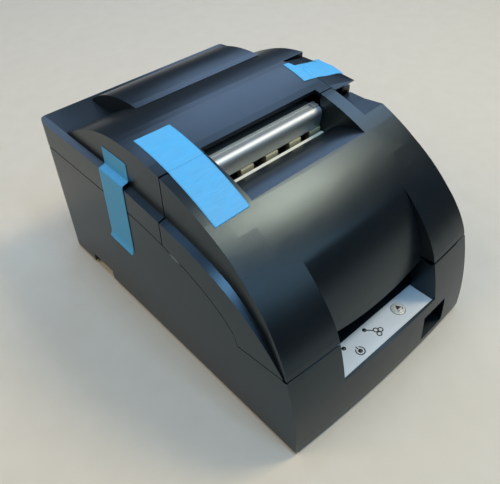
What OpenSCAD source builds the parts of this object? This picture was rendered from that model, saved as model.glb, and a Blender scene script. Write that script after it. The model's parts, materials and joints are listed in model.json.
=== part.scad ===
// Receipt printer with a nine-pin head, a drop-in paper roll and two hinged covers.
// Frame: X to the right seen from the front, front towards -Y, Z up.
// The origin lies on the table, under the middle of the case. Millimetres.

/* [Case] */
// Width of the case over its side walls
body_w = 160; // [154:1:172]
// Depth of the case from the bulge of the front wall to the rear wall
body_d = 248; // [244:1:256]
// Height of the top of the covers above the table
body_h = 137.8; // [136:0.2:142]
// Thickness of the moulded walls
wall = 2.4; // [2:0.1:2.8]
// Height of the rubber feet, which is also the gap under the case
foot_h = 2.6; // [2:0.1:4]
// Diameter of the rubber feet
foot_d = 14; // [10:1:18]
// Bulge of the front wall in plan, from the corners to the middle
front_bow = 3.2; // [2:0.1:4]
// How far the front wall leans back between the foot and the front cover
front_lean = 9.5; // [8:0.5:11]
// Plan radius of the two rear corners
rear_r = 10; // [6:1:14]
// Height of the seam between the case and the rear cover
seam_z = 93.6; // [92:0.2:95]
// Height of the seam between the case and the front cover, at the front
front_seam_z = 62.4; // [61:0.2:63.4]
// Gap in every seam between two mouldings
seam_gap = 0.8; // [0.6:0.1:1]

/* [Covers] */
// Width of the ledge beside the raised middle of the covers
ledge_w = 4.4; // [3:0.2:6]
// Height of the ledge and of the rear deck
ledge_z = 112; // [111:0.5:113]
// Slope of the ledge down to the outer edge of the covers, in degrees
ledge_tilt = 15; // [8:1:18]
// Place of the seam between the rear and the front cover
split_y = -12; // [-13:0.5:-11]
// Left end of the raised housing over the paper roll
hood_left = -42; // [-46:1:-40]
// Right end of the raised housing over the paper roll
hood_right = 60; // [56:1:64]
// Width of the paper exit
exit_w = 91; // [89:1:93]
// Front edge of the paper exit
exit_front = -48.6; // [-52:0.2:-46]
// Rear edge of the paper exit, cut into the rear cover
exit_rear = -7.5; // [-8.5:0.5:-6.5]
// Width of the recess above the control panel
visor_w = 86; // [80:1:88]
// Left side of the release lever
lever_left = 57; // [55.5:0.5:60]
// Thickness of the release lever
lever_t = 2.6; // [2.2:0.2:3]
// Radius of the hinge pins of both covers
pin_r = 1.2; // [1:0.1:1.3]

/* [Control panel] */
// Height of the face of the control panel
panel_z = 34; // [33.5:0.1:34.4]
// Diameter of the feed button
button_d = 9; // [8:0.5:10]
// Travel of the feed button
button_travel = 0.8; // [0.5:0.1:1]
// Diameter of the three lamps
lamp_d = 2.8; // [2.4:0.2:3.4]
// Width of the recess of the power switch
switch_w = 24; // [22:1:25]
// Height of the recess of the power switch
switch_h = 20.4; // [19:0.2:21]
// Half of the angle between the two positions of the power switch
switch_tilt = 7; // [5:1:8]

/* [Paper path] */
// Sideways place of the middle of the paper
paper_x = 1; // [0:0.5:1.5]
// Width of the paper roll
paper_w = 76; // [70:1:76]
// Greatest diameter of the paper roll
roll_d = 83; // [76:1:83]
// Clearance round the paper roll
roll_gap = 2; // [1.5:0.5:2.5]
// Place of the paper in front of the platen
paper_y = -14.9; // [-15:0.1:-14.8]
// Radius of the rubber feed rollers
feed_r = 6.2; // [5.8:0.1:6.4]
// Radius of the pinch rollers
pinch_r = 4; // [3.6:0.1:4.2]
// Height of the feed roller axle
feed_z = 66; // [65.5:0.5:67]
// Radius of the steel shafts in the mechanism
shaft_r = 3; // [2.6:0.1:3.2]
// Stroke of the cutter blade
cut_stroke = 4.8; // [4:0.2:5]
// Travel of the print head
head_travel = 56; // [40:2:56]

/* [Mechanism] */
// Distance between the two side frames, inside to inside
frame_in = 118; // [116:1:120]
// Thickness of the sheet steel
sheet = 1.2; // [1:0.1:1.4]
// Teeth of the gear on the feed roller
roller_teeth = 28; // [24:2:28]
// Teeth of the gear between motor and roller
idler_teeth = 18; // [14:2:18]
// Teeth of the motor pinion
pinion_teeth = 12; // [10:2:12]
// Module of the gears
gear_m = 1; // [0.9:0.05:1]
// Radius of the belt pulleys
pulley_r = 5.7; // [5:0.1:6]
// Thickness of the circuit boards
board_t = 1.6; // [1.2:0.2:2]

/* [Hidden] */
$fn = 48;

half_w = body_w / 2;
front_y = -body_d / 2;
rear_y = body_d / 2;
floor_z = foot_h + wall;
eps = 0.05;
run_gap = 0.3;          // gap between pieces that move past each other
pin_gap = 0.05;         // radial gap of a pin in its bore
far = 200;              // reach of cutting tools past the part

hump_x = half_w - ledge_w;
nose_y = front_y + front_lean;              // front edge of the front cover, at the middle
bow_r = half_w * half_w / (2 * front_bow);  // plan radius of the bulge
hump_top = body_h - 0.2;
crest_y = 20;                               // where the covers are highest
hump_end = rear_y - 30;                     // foot of the raised middle on the rear deck

// Control panel and front hinge
visor_x0 = paper_x - visor_w / 2;
visor_x1 = paper_x + visor_w / 2;
pocket_back = front_y + 33;
front_axis = [nose_y + 5.5, front_seam_z + 2.1];
rear_axis = [rear_y - 4.5, seam_z + 3.9];
knuckle_r = pin_r + 1;
ear_x = half_w - 26;        // outer face of the hinge ears
ear_t = 3;
boss_out = 8;               // length of the cover bosses outside and inside the ears
boss_in = 4;

// Paper exit and mechanism
exit_x0 = paper_x - exit_w / 2;
exit_x1 = paper_x + exit_w / 2;
frame_x0 = paper_x - frame_in / 2;
frame_x1 = paper_x + frame_in / 2;
tray_z = 24;
bay_c = [rear_y - 56, floor_z + roll_d / 2 + roll_gap + 31.5];   // axis of the paper roll
bay_r = roll_d / 2 + roll_gap;
bay_x0 = paper_x - paper_w / 2 - 1;
bay_x1 = paper_x + paper_w / 2 + 1;
feed_y = paper_y + 0.9 + feed_r;
pinch_y = feed_y - feed_r - run_gap - pinch_r;
print_z = feed_z + 22;      // height of the printed line
rail_y = paper_y - 21;      // guide shaft of the carriage
rail_z = print_z - 15;
head_x = paper_x - head_travel / 2;
belt_y = rail_y - 30;
belt_z = rail_z - 2;
belt_t = 1;
pulley_x = frame_in / 2 - 11;
cut_z = print_z + 12;       // underside of the moving blade
hood_top = hump_top - 13.6;
lip_z = (cut_z + hood_top) / 2 + 1;     // lower edge of the front of the cutter hood
guide_h = lip_z - 0.6 - cut_z;          // height of the paper fingers over the blade

function bez(a, b, c, d, n) = [for (i = [0:n]) let (t = i / n, u = 1 - t)
    u * u * u * a + 3 * u * u * t * b + 3 * u * t * t * c + t * t * t * d];
// Moves each point of a path to its right by d, along the local normal
function beside(p, d) = [for (i = [0:len(p) - 1])
    let (a = p[max(i - 1, 0)], b = p[min(i + 1, len(p) - 1)], t = (b - a) / norm(b - a))
    p[i] + d * [t[1], -t[0]]];
function rest(p) = [for (i = [1:len(p) - 1]) p[i]];
function arc(c, r, a0, a1, n) = [for (i = [0:n]) let (a = a0 + (a1 - a0) * i / n)
    c + r * [cos(a), sin(a)]];

// Side outlines, as [y, z] from front to rear
function hump_front(t) = beside(bez([nose_y, front_seam_z], [nose_y + 8.9, front_seam_z + 30.5],
    [crest_y - 75.6, hump_top], [crest_y, hump_top], 28), t);
function hump_rear(t) = beside(bez([crest_y - 131.3, front_seam_z],
    [crest_y - 122.6, front_seam_z + 30.5], [crest_y - 72.6, hump_top], [crest_y, hump_top], 28), t);
function hump_tail(t) = beside(bez([crest_y, hump_top], [crest_y + 28, hump_top],
    [crest_y + 46, hump_top - 8.6], [hump_end, ledge_z - 0.5], 14), t);
function hood_line(t) = beside(bez([rear_y - 66, hump_top - 6.6], [rear_y - 38, hump_top - 6],
    [rear_y - 20, ledge_z + 11], [rear_y - 5, ledge_z - 1], 14), t);
ledge_knee = [split_y, ledge_z - 5.8];
function ledge_front(t) = beside(bez([nose_y, front_seam_z - 1.4], [nose_y + 23.3, front_seam_z + 24.6],
    ledge_knee - [53.2, 4.2], ledge_knee, 20), t);
// The recess over the control panel runs out of the hump at a flat angle
visor_end = hump_front(-0.35)[12];
visor_dir = (visor_end - hump_front(-0.35)[10]) / norm(visor_end - hump_front(-0.35)[10]);
function visor_line(t) = beside(bez([nose_y + 9, front_seam_z - 9], [nose_y + 10, front_seam_z + 13.6],
    visor_end - 13 * visor_dir + [0.6, -0.6], visor_end, 14), t);
function chute_line(t) = beside(bez([exit_front, hump_top - 14.1], [exit_front + 10.6, hump_top - 15.1],
    [exit_front + 18.6, hump_top - 17.6], [paper_y - 5.1, lip_z - 1], 10), t);
seam_line = concat([[-far, front_seam_z + 0.2], [nose_y + 3, front_seam_z]],
    [[split_y - 62, front_seam_z - 5.8]],
    bez([split_y - 59, front_seam_z + 1.6], [split_y - 40, seam_z - 7.6],
        [split_y + 12, seam_z], [split_y + 57, seam_z], 12), [[far, seam_z]]);

// Extrudes a [y, z] outline along X
module slab(points, x0, x1) {
    translate([x0, 0, 0]) rotate([90, 0, 90]) linear_extrude(x1 - x0) polygon(points);
}
// Carries a [y, z] outline, drawn for the middle, round the bulge of the front wall
module bowed(points) {
    translate([0, front_y + bow_r, 0]) rotate([0, 0, -99]) rotate_extrude(angle = 18, $fn = 720)
        polygon([for (p = points) [front_y + bow_r - p[0], p[1]]]);
}
module box(lo, hi) {
    translate(lo) cube(hi - lo);
}
module x_rod(r, c, x0, x1) {
    translate([x0, c[0], c[1]]) rotate([0, 90, 0]) cylinder(r = r, h = x1 - x0);
}
module z_rod(r, c, z0, z1) {
    translate([c[0], c[1], z0]) cylinder(r = r, h = z1 - z0);
}
// Turns a ledge, drawn for the outer edge of the covers, so that it rises towards the hump;
// squat() shortens its outline first, so that the outer edge keeps its height
module tilted(s) {
    translate([s * half_w, 0, ledge_z]) rotate([0, s * ledge_tilt, 0])
        translate([-s * half_w, 0, -ledge_z]) children();
}
function squat(p) = [for (q = p) [q[0], ledge_z + (q[1] - ledge_z) * cos(ledge_tilt)]];
module edge_strip(s, t) {
    x = [s * (hump_x - eps), s * (half_w - t)];
    box([min(x), -far, panel_z], [max(x), far, far]);
}
module below_seam(gap) {
    slab(concat([for (p = seam_line) p - [0, gap]], [[far, -far], [-far, -far]]), -far, far);
}
module above_seam(gap) {
    slab(concat([for (p = seam_line) p + [0, gap]], [[far, far], [-far, far]]), -far, far);
}
// Plan of the case with rounded rear corners, drawn in by t
function plan(t, x, y0) = concat([[-x + t, y0], [x - t, y0]],
    arc([x - rear_r, rear_y - rear_r], rear_r - t, 0, 90, 8),
    arc([-x + rear_r, rear_y - rear_r], rear_r - t, 90, 180, 8));

module case_block(t, bottom) {
    intersection() {
        bowed([for (i = [0:10]) let (z = bottom + (front_seam_z + 2 - bottom) * i / 10,
                k = (z - foot_h) / (front_seam_z - foot_h))
                [front_y + t + front_lean * k * k, z],
            [split_y + 2, front_seam_z + 2], [split_y + 2, bottom]]);
        box([-half_w + t, -far, bottom], [half_w - t, split_y + 1, far]);
    }
    translate([0, 0, bottom]) linear_extrude(seam_z + 6 - bottom) polygon(plan(t, half_w, split_y - 40));
    box([-half_w + t, split_y - 64, bottom], [half_w - t, split_y - 39, seam_z]);
}
// Ear of a cover hinge: a gusset on the wall with a bore for the pin
module front_ear(x) {
    difference() {
        union() {
            slab([front_axis + [-1.5, -7.5], front_axis + [-7, -16], front_axis + [-10, -34],
                front_axis + [8, -34], front_axis + [8, -8], front_axis + [3, 1],
                front_axis + [0.6, 2], front_axis + [0.6, -2], front_axis + [0.9, -5.2]], x, x + ear_t);
            x_rod(knuckle_r, front_axis, x, x + ear_t);
        }
        x_rod(pin_r + pin_gap, front_axis, x - 1, x + ear_t + 1);
    }
}
module rear_ear(x) {
    difference() {
        union() {
            slab([rear_axis + [-1.3, -1.6], rear_axis + [-0.6, 2], rear_axis + [-3, 2],
                rear_axis + [-9, -8], rear_axis + [-9, -30], rear_axis + [4.5 - wall + eps, -30],
                rear_axis + [4.5 - wall + eps, -12], rear_axis + [-1.5, -7.5],
                rear_axis + [-4.7, -5.6], rear_axis + [-4.5, -4.4]], x, x + ear_t);
            x_rod(knuckle_r, rear_axis, x, x + ear_t);
        }
        x_rod(pin_r + pin_gap, rear_axis, x - 1, x + ear_t + 1);
    }
}
// Holes for the two pins of a cover, blind in the outer bosses
module pin_holes(axis) {
    for (x = [-ear_x - 7, ear_x - ear_t - boss_in]) x_rod(pin_r, axis, x, x + ear_t + boss_in + 7);
}
module hinge_pins(axis) {
    for (x = [-ear_x - 6.5, ear_x - ear_t - boss_in]) x_rod(pin_r, axis, x, x + ear_t + boss_in + 6.5);
}
// Room for one ear on the inner face of a cover wall; side is 1 at the front, -1 at the rear
module ear_room(axis, side, x) {
    r = knuckle_r + run_gap;
    x_rod(r, axis, x, x + ear_t + 2 * run_gap);
    slab([axis + [side * (0.1 - r), 0.1], axis + [side * 4, 0.1], axis + [side * 4, -8],
        axis + [side * (0.1 - r), -8]], x, x + ear_t + 2 * run_gap);
}
foot_at = [[-64, front_y + 22], [64, front_y + 30], [-64, rear_y - 22], [64, rear_y - 22]];
screw_at = [[-70, front_y + 40], [70, front_y + 48], [-70, rear_y - 68], [70, rear_y - 68]];
post_at = [[frame_x0 + 6, -76], [frame_x1 - 6, -76], [frame_x0 + 6, 6], [frame_x1 - 6, 6]];
board_lo = [-46, -72];
board_hi = [46, bay_c[0] - 44];
switch_x = 45;
switch_z = 16.8;
switch_depth = 12;
socket_bay = [[-44, 8], [44, 30]];      // x and z of the rear opening
lamp_at = [[paper_x - 26.3, front_y + 19], [paper_x - 7, front_y + 19.4], [paper_x - 20.4, front_y + 11.3]];
button_at = [paper_x + 21, front_y + 15.5];
lip_back = front_y + 5;     // inner face of the lip in front of the control panel
shelf_t = 2.2;
grip_reach = 20;            // plan radius of the finger scoops
grip_r = 3.6;               // radius of their section
grip_depth = 1.9;
grip_slope = 12.5;          // follows the seam above them
grip_at = [split_y - 10.8, (front_seam_z + 7 * seam_z - 21.2) / 8];     // on the seam, as Y and Z
brow_r = 186.5;             // radius of the arched edge over the control panel
label_t = 0.8;

module panel_pocket() {
    difference() {
        box([visor_x0 - wall, -far, panel_z - label_t - shelf_t],
            [visor_x1 + wall, pocket_back + wall, front_seam_z - 2]);
        box([visor_x0, -far, panel_z - label_t], [visor_x1, pocket_back, far]);
    }
}
module lower_case() color("#26282b") {
    difference() {
        union() {
            difference() {
                intersection() { case_block(0, foot_h); below_seam(seam_gap / 2); }
                case_block(wall, floor_z);
            }
            intersection() { case_block(eps, foot_h); panel_pocket(); }
            intersection() {
                case_block(eps, foot_h);
                box([switch_x - switch_w / 2 - wall, -far, floor_z - eps],
                    [switch_x + switch_w / 2 + wall, front_y + switch_depth + wall + 3,
                     switch_z + switch_h / 2 + 1.6]);
            }
            for (p = screw_at) z_rod(4, p, floor_z - eps, floor_z + 14);
            // pillars under the two boards
            for (x = [board_lo[0] + 4, board_hi[0] - 4], y = [board_lo[1] + 4, board_hi[1] - 4])
                z_rod(2.5, [x, y], floor_z - eps, floor_z + 5);
            for (x = [-32, 34], y = [card_y0 + 4, plate_y - 5])
                z_rod(2.5, [x, y], floor_z - eps, floor_z + 9);
        }
        box([visor_x0, -far, panel_z + 1.3], [visor_x1, pocket_back, far]);
        box([visor_x0, lip_back, panel_z - label_t], [visor_x1, pocket_back, far]);
        box([switch_x - switch_w / 2, -far, switch_z - switch_h / 2],
            [switch_x + switch_w / 2, front_y + switch_depth + 3, switch_z + switch_h / 2]);
        box([switch_x - switch_w / 2 + 2, -far, switch_z - switch_h / 2 + 2],
            [switch_x + switch_w / 2 - 2, front_y + switch_depth + wall + 4, switch_z + switch_h / 2 - 2]);
        // room for the turning edges of both covers
        x_rod(3.6, front_axis, -half_w - 1, half_w + 1);
        x_rod(5.8, front_axis, -ear_x - 16, ear_x + 16);
        x_rod(6.6, rear_axis, -half_w - 1, half_w + 1);
        // cable way at the left, and the opening for the sockets at the rear
        box([-half_w - 1, rear_y - 59, foot_h - 1], [-half_w + wall + 1, rear_y - 34, foot_h + 7]);
        box([socket_bay[0][0], rear_y - wall - 1, socket_bay[0][1]],
            [socket_bay[1][0], rear_y + 1, socket_bay[1][1]]);
        for (p = lamp_at) z_rod(lamp_d / 2 + pin_gap, p, panel_z - 8, panel_z + 1);
        z_rod(button_d / 2 + run_gap, button_at, panel_z - 8, panel_z + 1);
        // scoops under both skirts of the front cover, for the finger tips
        for (s = [-1, 1])
            translate([s * (half_w + grip_reach + grip_r - grip_depth), grip_at[0], grip_at[1] + 1.3])
                rotate([grip_slope, 0, 0]) rotate_extrude($fn = 120)
                    translate([grip_reach, 0]) circle(grip_r, $fn = 40);
        for (p = screw_at) z_rod(1.65, p, foot_h - 1, floor_z + 12);
        for (p = screw_at) z_rod(3.2, p, foot_h - 1, foot_h + 1.1);
    }
    for (x = [-ear_x, ear_x - ear_t]) { front_ear(x); rear_ear(x); }
}
module rubber_feet() color("#1b1b1c") for (p = foot_at) z_rod(foot_d / 2, p, 0, foot_h);
module case_screws() color("silver") for (p = screw_at) {
    z_rod(2.8, p, foot_h - 0.6, foot_h + 1.2);
    z_rod(1.6, p, foot_h + 1.1, floor_z + 10);
}
module mechanism_posts() color("#26282b") for (p = post_at) z_rod(4, p, floor_z, tray_z - sheet);

// Outer form of the front cover, drawn in by t: the raised middle, which widens
// to the full width at the front, and the skirt with its ledge
module front_form(t) {
    difference() {
        union() {
            intersection() {
                bowed(concat([[nose_y + t + 6, panel_z]], hump_front(t),
                    [[crest_y, panel_z]]));
                translate([0, 0, panel_z]) linear_extrude(far) polygon([
                    [-half_w + t, -far], [half_w - t, -far], [half_w - t, nose_y + 1],
                    [hump_x + 1.6 - t, nose_y + 22], [hump_x - t, nose_y + 50], [hump_x - t, crest_y],
                    [-hump_x + t, crest_y], [-hump_x + t, nose_y + 50],
                    [-hump_x - 1.6 + t, nose_y + 22], [-half_w + t, nose_y + 1]]);
            }
            for (s = [-1, 1]) intersection() {
                tilted(s) bowed(squat(concat([[nose_y + t + 6, panel_z]], ledge_front(t),
                    [[crest_y, ledge_knee[1] - t + 3], [crest_y, panel_z]])));
                edge_strip(s, t);
            }
        }
        // recess above the control panel, its face lying t behind the outer one
        intersection() {
            bowed(concat(visor_line(t), [[visor_end[0], far], [front_y - 30, far],
                [front_y - 30, front_seam_z - 12], [nose_y + 9 + t, front_seam_z - 12]]));
            box([visor_x0 - t, -far, 0], [visor_x1 + t, far, far]);
        }
        // finger scoop under the release lever
        slab([[crest_y + 1, scoop_z - t], [split_y - 12, scoop_z - t], [split_y - 29, scoop_z + 2.6 - t],
            [split_y - 31, far], [crest_y + 1, far]], lever_left - run_gap - t, far);
    }
}
scoop_z = hump_top - 13;
module exit_chute() {
    difference() {
        slab(concat(chute_line(wall), [[paper_y - 4.5, cut_z + 0.4 * guide_h],
            [split_y, cut_z + 0.4 * guide_h], [split_y, hump_top], [exit_front, hump_top]]),
            exit_x0 - wall, exit_x1 + wall);
        exit_void();
    }
}
module exit_void() {
    slab(concat(chute_line(0), [[paper_y - 4.5, cut_z], [crest_y, cut_z], [crest_y, far],
        [exit_front, far]]), exit_x0, exit_x1);
}
module front_boss(x0, x1) {
    x_rod(knuckle_r, front_axis, x0, x1);
    slab([front_axis + [-1, 0], front_axis + [knuckle_r - 0.3, 0], front_axis + [knuckle_r - 0.3, 10],
        front_axis + [-1, 14]], x0, x1);
}
module front_cover() color("#26282b") {
    difference() {
        intersection() {
            union() {
                difference() { front_form(0); front_form(wall); exit_void(); }
                intersection() { front_form(eps); exit_chute(); }
                intersection() {
                    front_form(eps);
                    union() {
                        for (x = [ear_x + run_gap, -ear_x - run_gap - boss_out])
                            front_boss(x, x + boss_out);
                        for (x = [ear_x - ear_t - run_gap - boss_in, -ear_x + ear_t + run_gap])
                            front_boss(x, x + boss_in);
                    }
                }
            }
            union() {
                above_seam(seam_gap / 2);
                intersection() {
                    box([visor_x0 + 0.5, nose_y + 1, 0], [visor_x1 - 0.5, nose_y + 20, front_seam_z + 6]);
                    translate([paper_x, 0, front_seam_z - 8.5 + brow_r]) rotate([90, 0, 0])
                        cylinder(r = brow_r, h = 2 * far, center = true, $fn = 360);
                }
            }
            box([-far, -far, 0], [far, split_y - seam_gap / 2, far]);
        }
        pin_holes(front_axis);
        for (x = [-ear_x - run_gap, ear_x - ear_t - run_gap]) ear_room(front_axis, 1, x);
    }
}
module front_hinge_pins() color("silver") hinge_pins(front_axis);

// The rear deck lies higher than the outer edge by the rise of the tilted ledge
ledge_rise = ledge_w * tan(ledge_tilt);
function deck_line(t) = [[split_y - 12, ledge_knee[1] - 1.2 - t], ledge_knee - [0, t],
    [split_y + 57, ledge_z - t], [rear_y - 3.6 - t, ledge_z - t],
    [rear_y - 1.6 - t, ledge_z - 2 - t], [rear_y - t, seam_z],
    [rear_y - t, seam_z - 20], [split_y - 12, seam_z - 20]];
// Outer form of the rear cover, drawn in by t
module rear_form(t) {
    difference() {
        union() {
            slab(concat([for (p = hump_rear(t)) if (p[0] > split_y - 12) p], rest(hump_tail(t)),
                [[hump_end, ledge_z - 12], [split_y - 12, ledge_z - 12]]), -hump_x + t, hump_x - t);
            intersection() {
                union() {
                    slab([for (p = deck_line(t)) p + [0, ledge_rise]], -hump_x, hump_x);
                    for (s = [-1, 1]) intersection() {
                        tilted(s) slab(squat(deck_line(t)), -far, far);
                        edge_strip(s, t);
                    }
                }
                translate([0, 0, seam_z - 20]) linear_extrude(40) polygon(plan(t, half_w, split_y - 12));
            }
            slab(concat(hood_line(t), [[rear_y - 5 - t, ledge_z - 10], [rear_y - 66, ledge_z - 10]]),
                hood_left + t, hood_right - t);
        }
        slab([[split_y - 8, lever_floor - t], [lever_back + run_gap + t, lever_floor - t],
            [lever_back + run_gap + t, far], [split_y - 8, far]], lever_left - run_gap - t, far);
    }
}
lever_floor = hump_top - 8.4;
lever_back = crest_y + 10.5;
lever_axis = [lever_back - 5, lever_floor + 2.2];
module rear_boss(x0, x1) {
    x_rod(knuckle_r, rear_axis, x0, x1);
    slab([rear_axis + [0.3 - knuckle_r, 0], rear_axis + [1, 0], rear_axis + [1, 14],
        rear_axis + [0.3 - knuckle_r, 14]], x0, x1);
}
module rear_cover() color("#26282b") {
    difference() {
        intersection() {
            union() {
                difference() { rear_form(0); rear_form(wall); }
                intersection() {
                    rear_form(eps);
                    union() {
                        for (x = [ear_x + run_gap, -ear_x - run_gap - boss_out])
                            rear_boss(x, x + boss_out);
                        for (x = [ear_x - ear_t - run_gap - boss_in, -ear_x + ear_t + run_gap])
                            rear_boss(x, x + boss_in);
                    }
                }
                // lug that carries the right end of the lever pin
                slab(concat(arc(lever_axis, 2, 180, 0, 8), [lever_axis + [2, -3], lever_axis + [-2, -3]]),
                    hump_x - 2.4, hump_x - 0.4);
            }
            above_seam(seam_gap / 2);
            box([-far, split_y + seam_gap / 2, 0], [far, far, far]);
        }
        box([exit_x0, split_y - 1, ledge_z + 4], [exit_x1, exit_rear, far]);
        pin_holes(rear_axis);
        for (x = [-ear_x - run_gap, ear_x - ear_t - run_gap]) ear_room(rear_axis, -1, x);
        x_rod(1.2, lever_axis, lever_left - 3, hump_x - 1);
        // slot for the latch tongue of the lever
        box([lever_left + 5, split_y - 1, ledge_z], [lever_left + 11, split_y + 10, far]);
    }
}
module rear_hinge_pins() color("silver") hinge_pins(rear_axis);
// Top of the lever where it meets the rear cover, and along its outer side, which lies lower
lever_crease = concat([[split_y - 2.6, hump_top - 3.6]],
    [for (p = concat(hump_rear(0), rest(hump_tail(0)))) if (p[0] > split_y && p[0] < lever_back - 4) p],
    [[lever_back - 1.3, hump_top - 0.6]]);
lever_side = [[split_y - 2.6, hump_top - 4], [split_y + 18, hump_top - 3],
    [lever_back - 0.5, hump_top - 3.6]];
lever_under = [[lever_back - 0.5, hump_top - 4.6 - lever_t / 2],
    [split_y - 2, hump_top - 3.7 - lever_t / 2]];
module release_lever() color("#26282b") {
    difference() {
        union() {
            hull() {
                slab(concat(lever_crease, lever_under), lever_left, lever_left + 0.2);
                slab(concat(lever_side, lever_under), hump_x - 0.2, hump_x);
            }
            x_rod(1.9, lever_axis, lever_left, hump_x - 2.7);
            slab([[split_y + 3.4, hump_top - 4], [split_y + 7.4, hump_top - 4],
                [split_y + 6.4, ledge_z - 2], [split_y + 3.4, ledge_z - 2]],
                lever_left + 6.2, lever_left + 9.8);
        }
        x_rod(1.2 + pin_gap, lever_axis, lever_left - 1, hump_x);
        box([hump_x - 2.7, lever_axis[0] - 2.4, 0], [far, lever_axis[0] + 2.4, lever_axis[1] + 2.15]);
    }
}
module lever_pin() color("silver") x_rod(1.2, lever_axis, lever_left - 2.6, hump_x - 1);

module panel_label() color("#c3cbd3") {
    difference() {
        box([visor_x0 + 0.1, lip_back + 0.1, panel_z - label_t],
            [visor_x1 - 0.1, pocket_back - 0.1, panel_z]);
        for (p = lamp_at) z_rod(lamp_d / 2 + pin_gap, p, panel_z - 8, panel_z + 1);
        z_rod(button_d / 2 + run_gap, button_at, panel_z - 8, panel_z + 1);
    }
}
module feed_button() color("#d9dcd8") {
    z_rod(button_d / 2, button_at, panel_z - 4.4, panel_z + 1.2);
    z_rod(button_d / 2 + 1.4, button_at, panel_z - 4.9, panel_z - 4.2);
}
module status_lamps() color("#101214")
    for (p = lamp_at) z_rod(lamp_d / 2, p, panel_z - 7, panel_z + 0.1);
module panel_board() color("#1f5a3a") {
    right = switch_x - switch_w / 2 - wall - run_gap;
    box([visor_x0 + 8, lip_back + 1, panel_z - 7 - board_t], [right, pocket_back - 6, panel_z - 7]);
    box([button_at[0] - 3, button_at[1] - 3, panel_z - 7],
        [button_at[0] + 3, button_at[1] + 3, panel_z - 4.9 - button_travel - 0.2]);
    for (x = [visor_x0 + 11, right - 2])
        z_rod(1.6, [x, pocket_back - 9], panel_z - 7, panel_z - label_t - shelf_t);
}

// Rocker switch: a body behind the recess and a key that tips about an upright axis
key_w = switch_w - 6;
key_h = switch_h - 6;
key_axis = [switch_x, front_y + switch_depth + 4.2];
switch_y = front_y + switch_depth + wall + 3;   // back of the recess
// Block round the key, wider than it by m on every side
module key_block(m, y0, y1) {
    box([switch_x - key_w / 2 - m, y0, switch_z - key_h / 2 - m],
        [switch_x + key_w / 2 + m, y1, switch_z + key_h / 2 + m]);
}
module switch_body() color("#151617") {
    difference() {
        union() {
            key_block(1.4, switch_y, switch_y + 12);
            key_block(0.8, front_y + switch_depth + 2, switch_y + 0.1);
        }
        key_block(run_gap, front_y, switch_y + 9);
    }
    z_rod(1.2, key_axis, switch_z - key_h / 2 - 0.6, switch_z + key_h / 2 + 0.6);
}
module power_rocker() color("#151617") {
    x = key_w / 2 - 0.6;
    translate([key_axis[0], key_axis[1], switch_z]) rotate([0, 0, switch_tilt]) difference() {
        translate([0, 0, -key_h / 2]) linear_extrude(key_h) polygon([[-x, -2.6], [-key_w / 4, -1.9],
            [0, -1.7], [key_w / 4, -1.9], [x, -2.6], [x, 0], [4, 2.4], [-4, 2.4], [-x, 0]]);
        z_rod(1.2 + pin_gap, [0, 0], -key_h / 2 - 1, key_h / 2 + 1);
    }
}

// Paper bay: an open trough for the roll, on four legs
bay_wall = 2;
module roll_bay() color("#3a3d40") {
    difference() {
        union() {
            difference() {
                slab(concat(arc(bay_c, bay_r + bay_wall, 203.5, 358, 22), [bay_c + [bay_r + bay_wall, 12]]),
                    bay_x0 - bay_wall, bay_x1 + bay_wall);
                slab(concat(arc(bay_c, bay_r, 203.5, 358, 22), [bay_c + [bay_r, 90], bay_c + [-bay_r, 90]]),
                    bay_x0, bay_x1);
                box([bay_x0, 0, bay_c[1] - 22], [bay_x1, bay_c[0] - bay_r + 8, far]);
            }
            for (x = [bay_x0 - bay_wall, bay_x1], s = [-1, 1])
                box([x, bay_c[0] + s * 30 - 5, floor_z],
                    [x + bay_wall, bay_c[0] + s * 30 + 5, bay_c[1] - 20]);
        }
        // window for the finger of the near-end lever
        slab([near_axis + [-34, -7], near_axis + [-34, 9], near_axis + [-20, 9], near_axis + [-20, -7]],
            bay_x0 - bay_wall - 1, bay_x0 + 1);
        x_rod(pin_r + pin_gap, near_axis, bay_x0 - bay_wall - 1, bay_x0 + 1);
    }
}
near_axis = bay_c + [24, -28];
module near_end_lever() color("#b9bdb8") {
    slab(concat(arc(near_axis, 4, -90, 90, 8),
        [near_axis + [-27, 3], near_axis + [-30, 0], near_axis + [-27, -3]]),
        bay_x0 - bay_wall - 1.9, bay_x0 - bay_wall - 0.4);
    x_rod(2, near_axis + [-27, 0], bay_x0 - bay_wall - 1, bay_x0 + 4);
    x_rod(pin_r, near_axis, bay_x0 - bay_wall - 1, bay_x0 - 0.3);
}

// Mechanism: two side frames standing on a tray
module side_frames() color("#aab0b4") {
    difference() {
        for (x = [frame_x0 - sheet, frame_x1])
            slab([[belt_y - 14, tray_z], [12, tray_z], [12, cut_z - 2], [-22, cut_z - 2],
                [-22, print_z - 6], [belt_y - 14, print_z - 6]], x, x + sheet);
        x_rod(shaft_r + pin_gap, [feed_y, feed_z], -far, far);
        x_rod(1.5, [pinch_y, feed_z], -far, far);
        x_rod(shaft_r - 0.5, [rail_y, rail_z], -far, far);
        x_rod(2, idler_c, frame_x1 - 1, far);
        x_rod(2.2, motor_c, frame_x1 - 1, far);
    }
}
deck_y0 = rail_y - 24;      // front edge and height of the upper deck of the tray
deck_z = rail_z - 8;
module frame_tray() color("#aab0b4") {
    box([frame_x0 - sheet, belt_y - 14, tray_z - sheet], [frame_x1 + sheet, 12, tray_z]);
    box([frame_x0, deck_y0, deck_z - sheet], [frame_x1, deck_y0 + 15, deck_z]);
    box([frame_x0, deck_y0, tray_z], [frame_x0 + sheet, deck_y0 + 8, deck_z - sheet]);
    box([frame_x1 - sheet, deck_y0, tray_z], [frame_x1, motor_c[0] - flange - run_gap, deck_z - sheet]);
}
module platen() color("#303336") {
    box([frame_x0, paper_y + 1.3, print_z - 7], [frame_x1, paper_y + 7, print_z + 7]);
}
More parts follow.
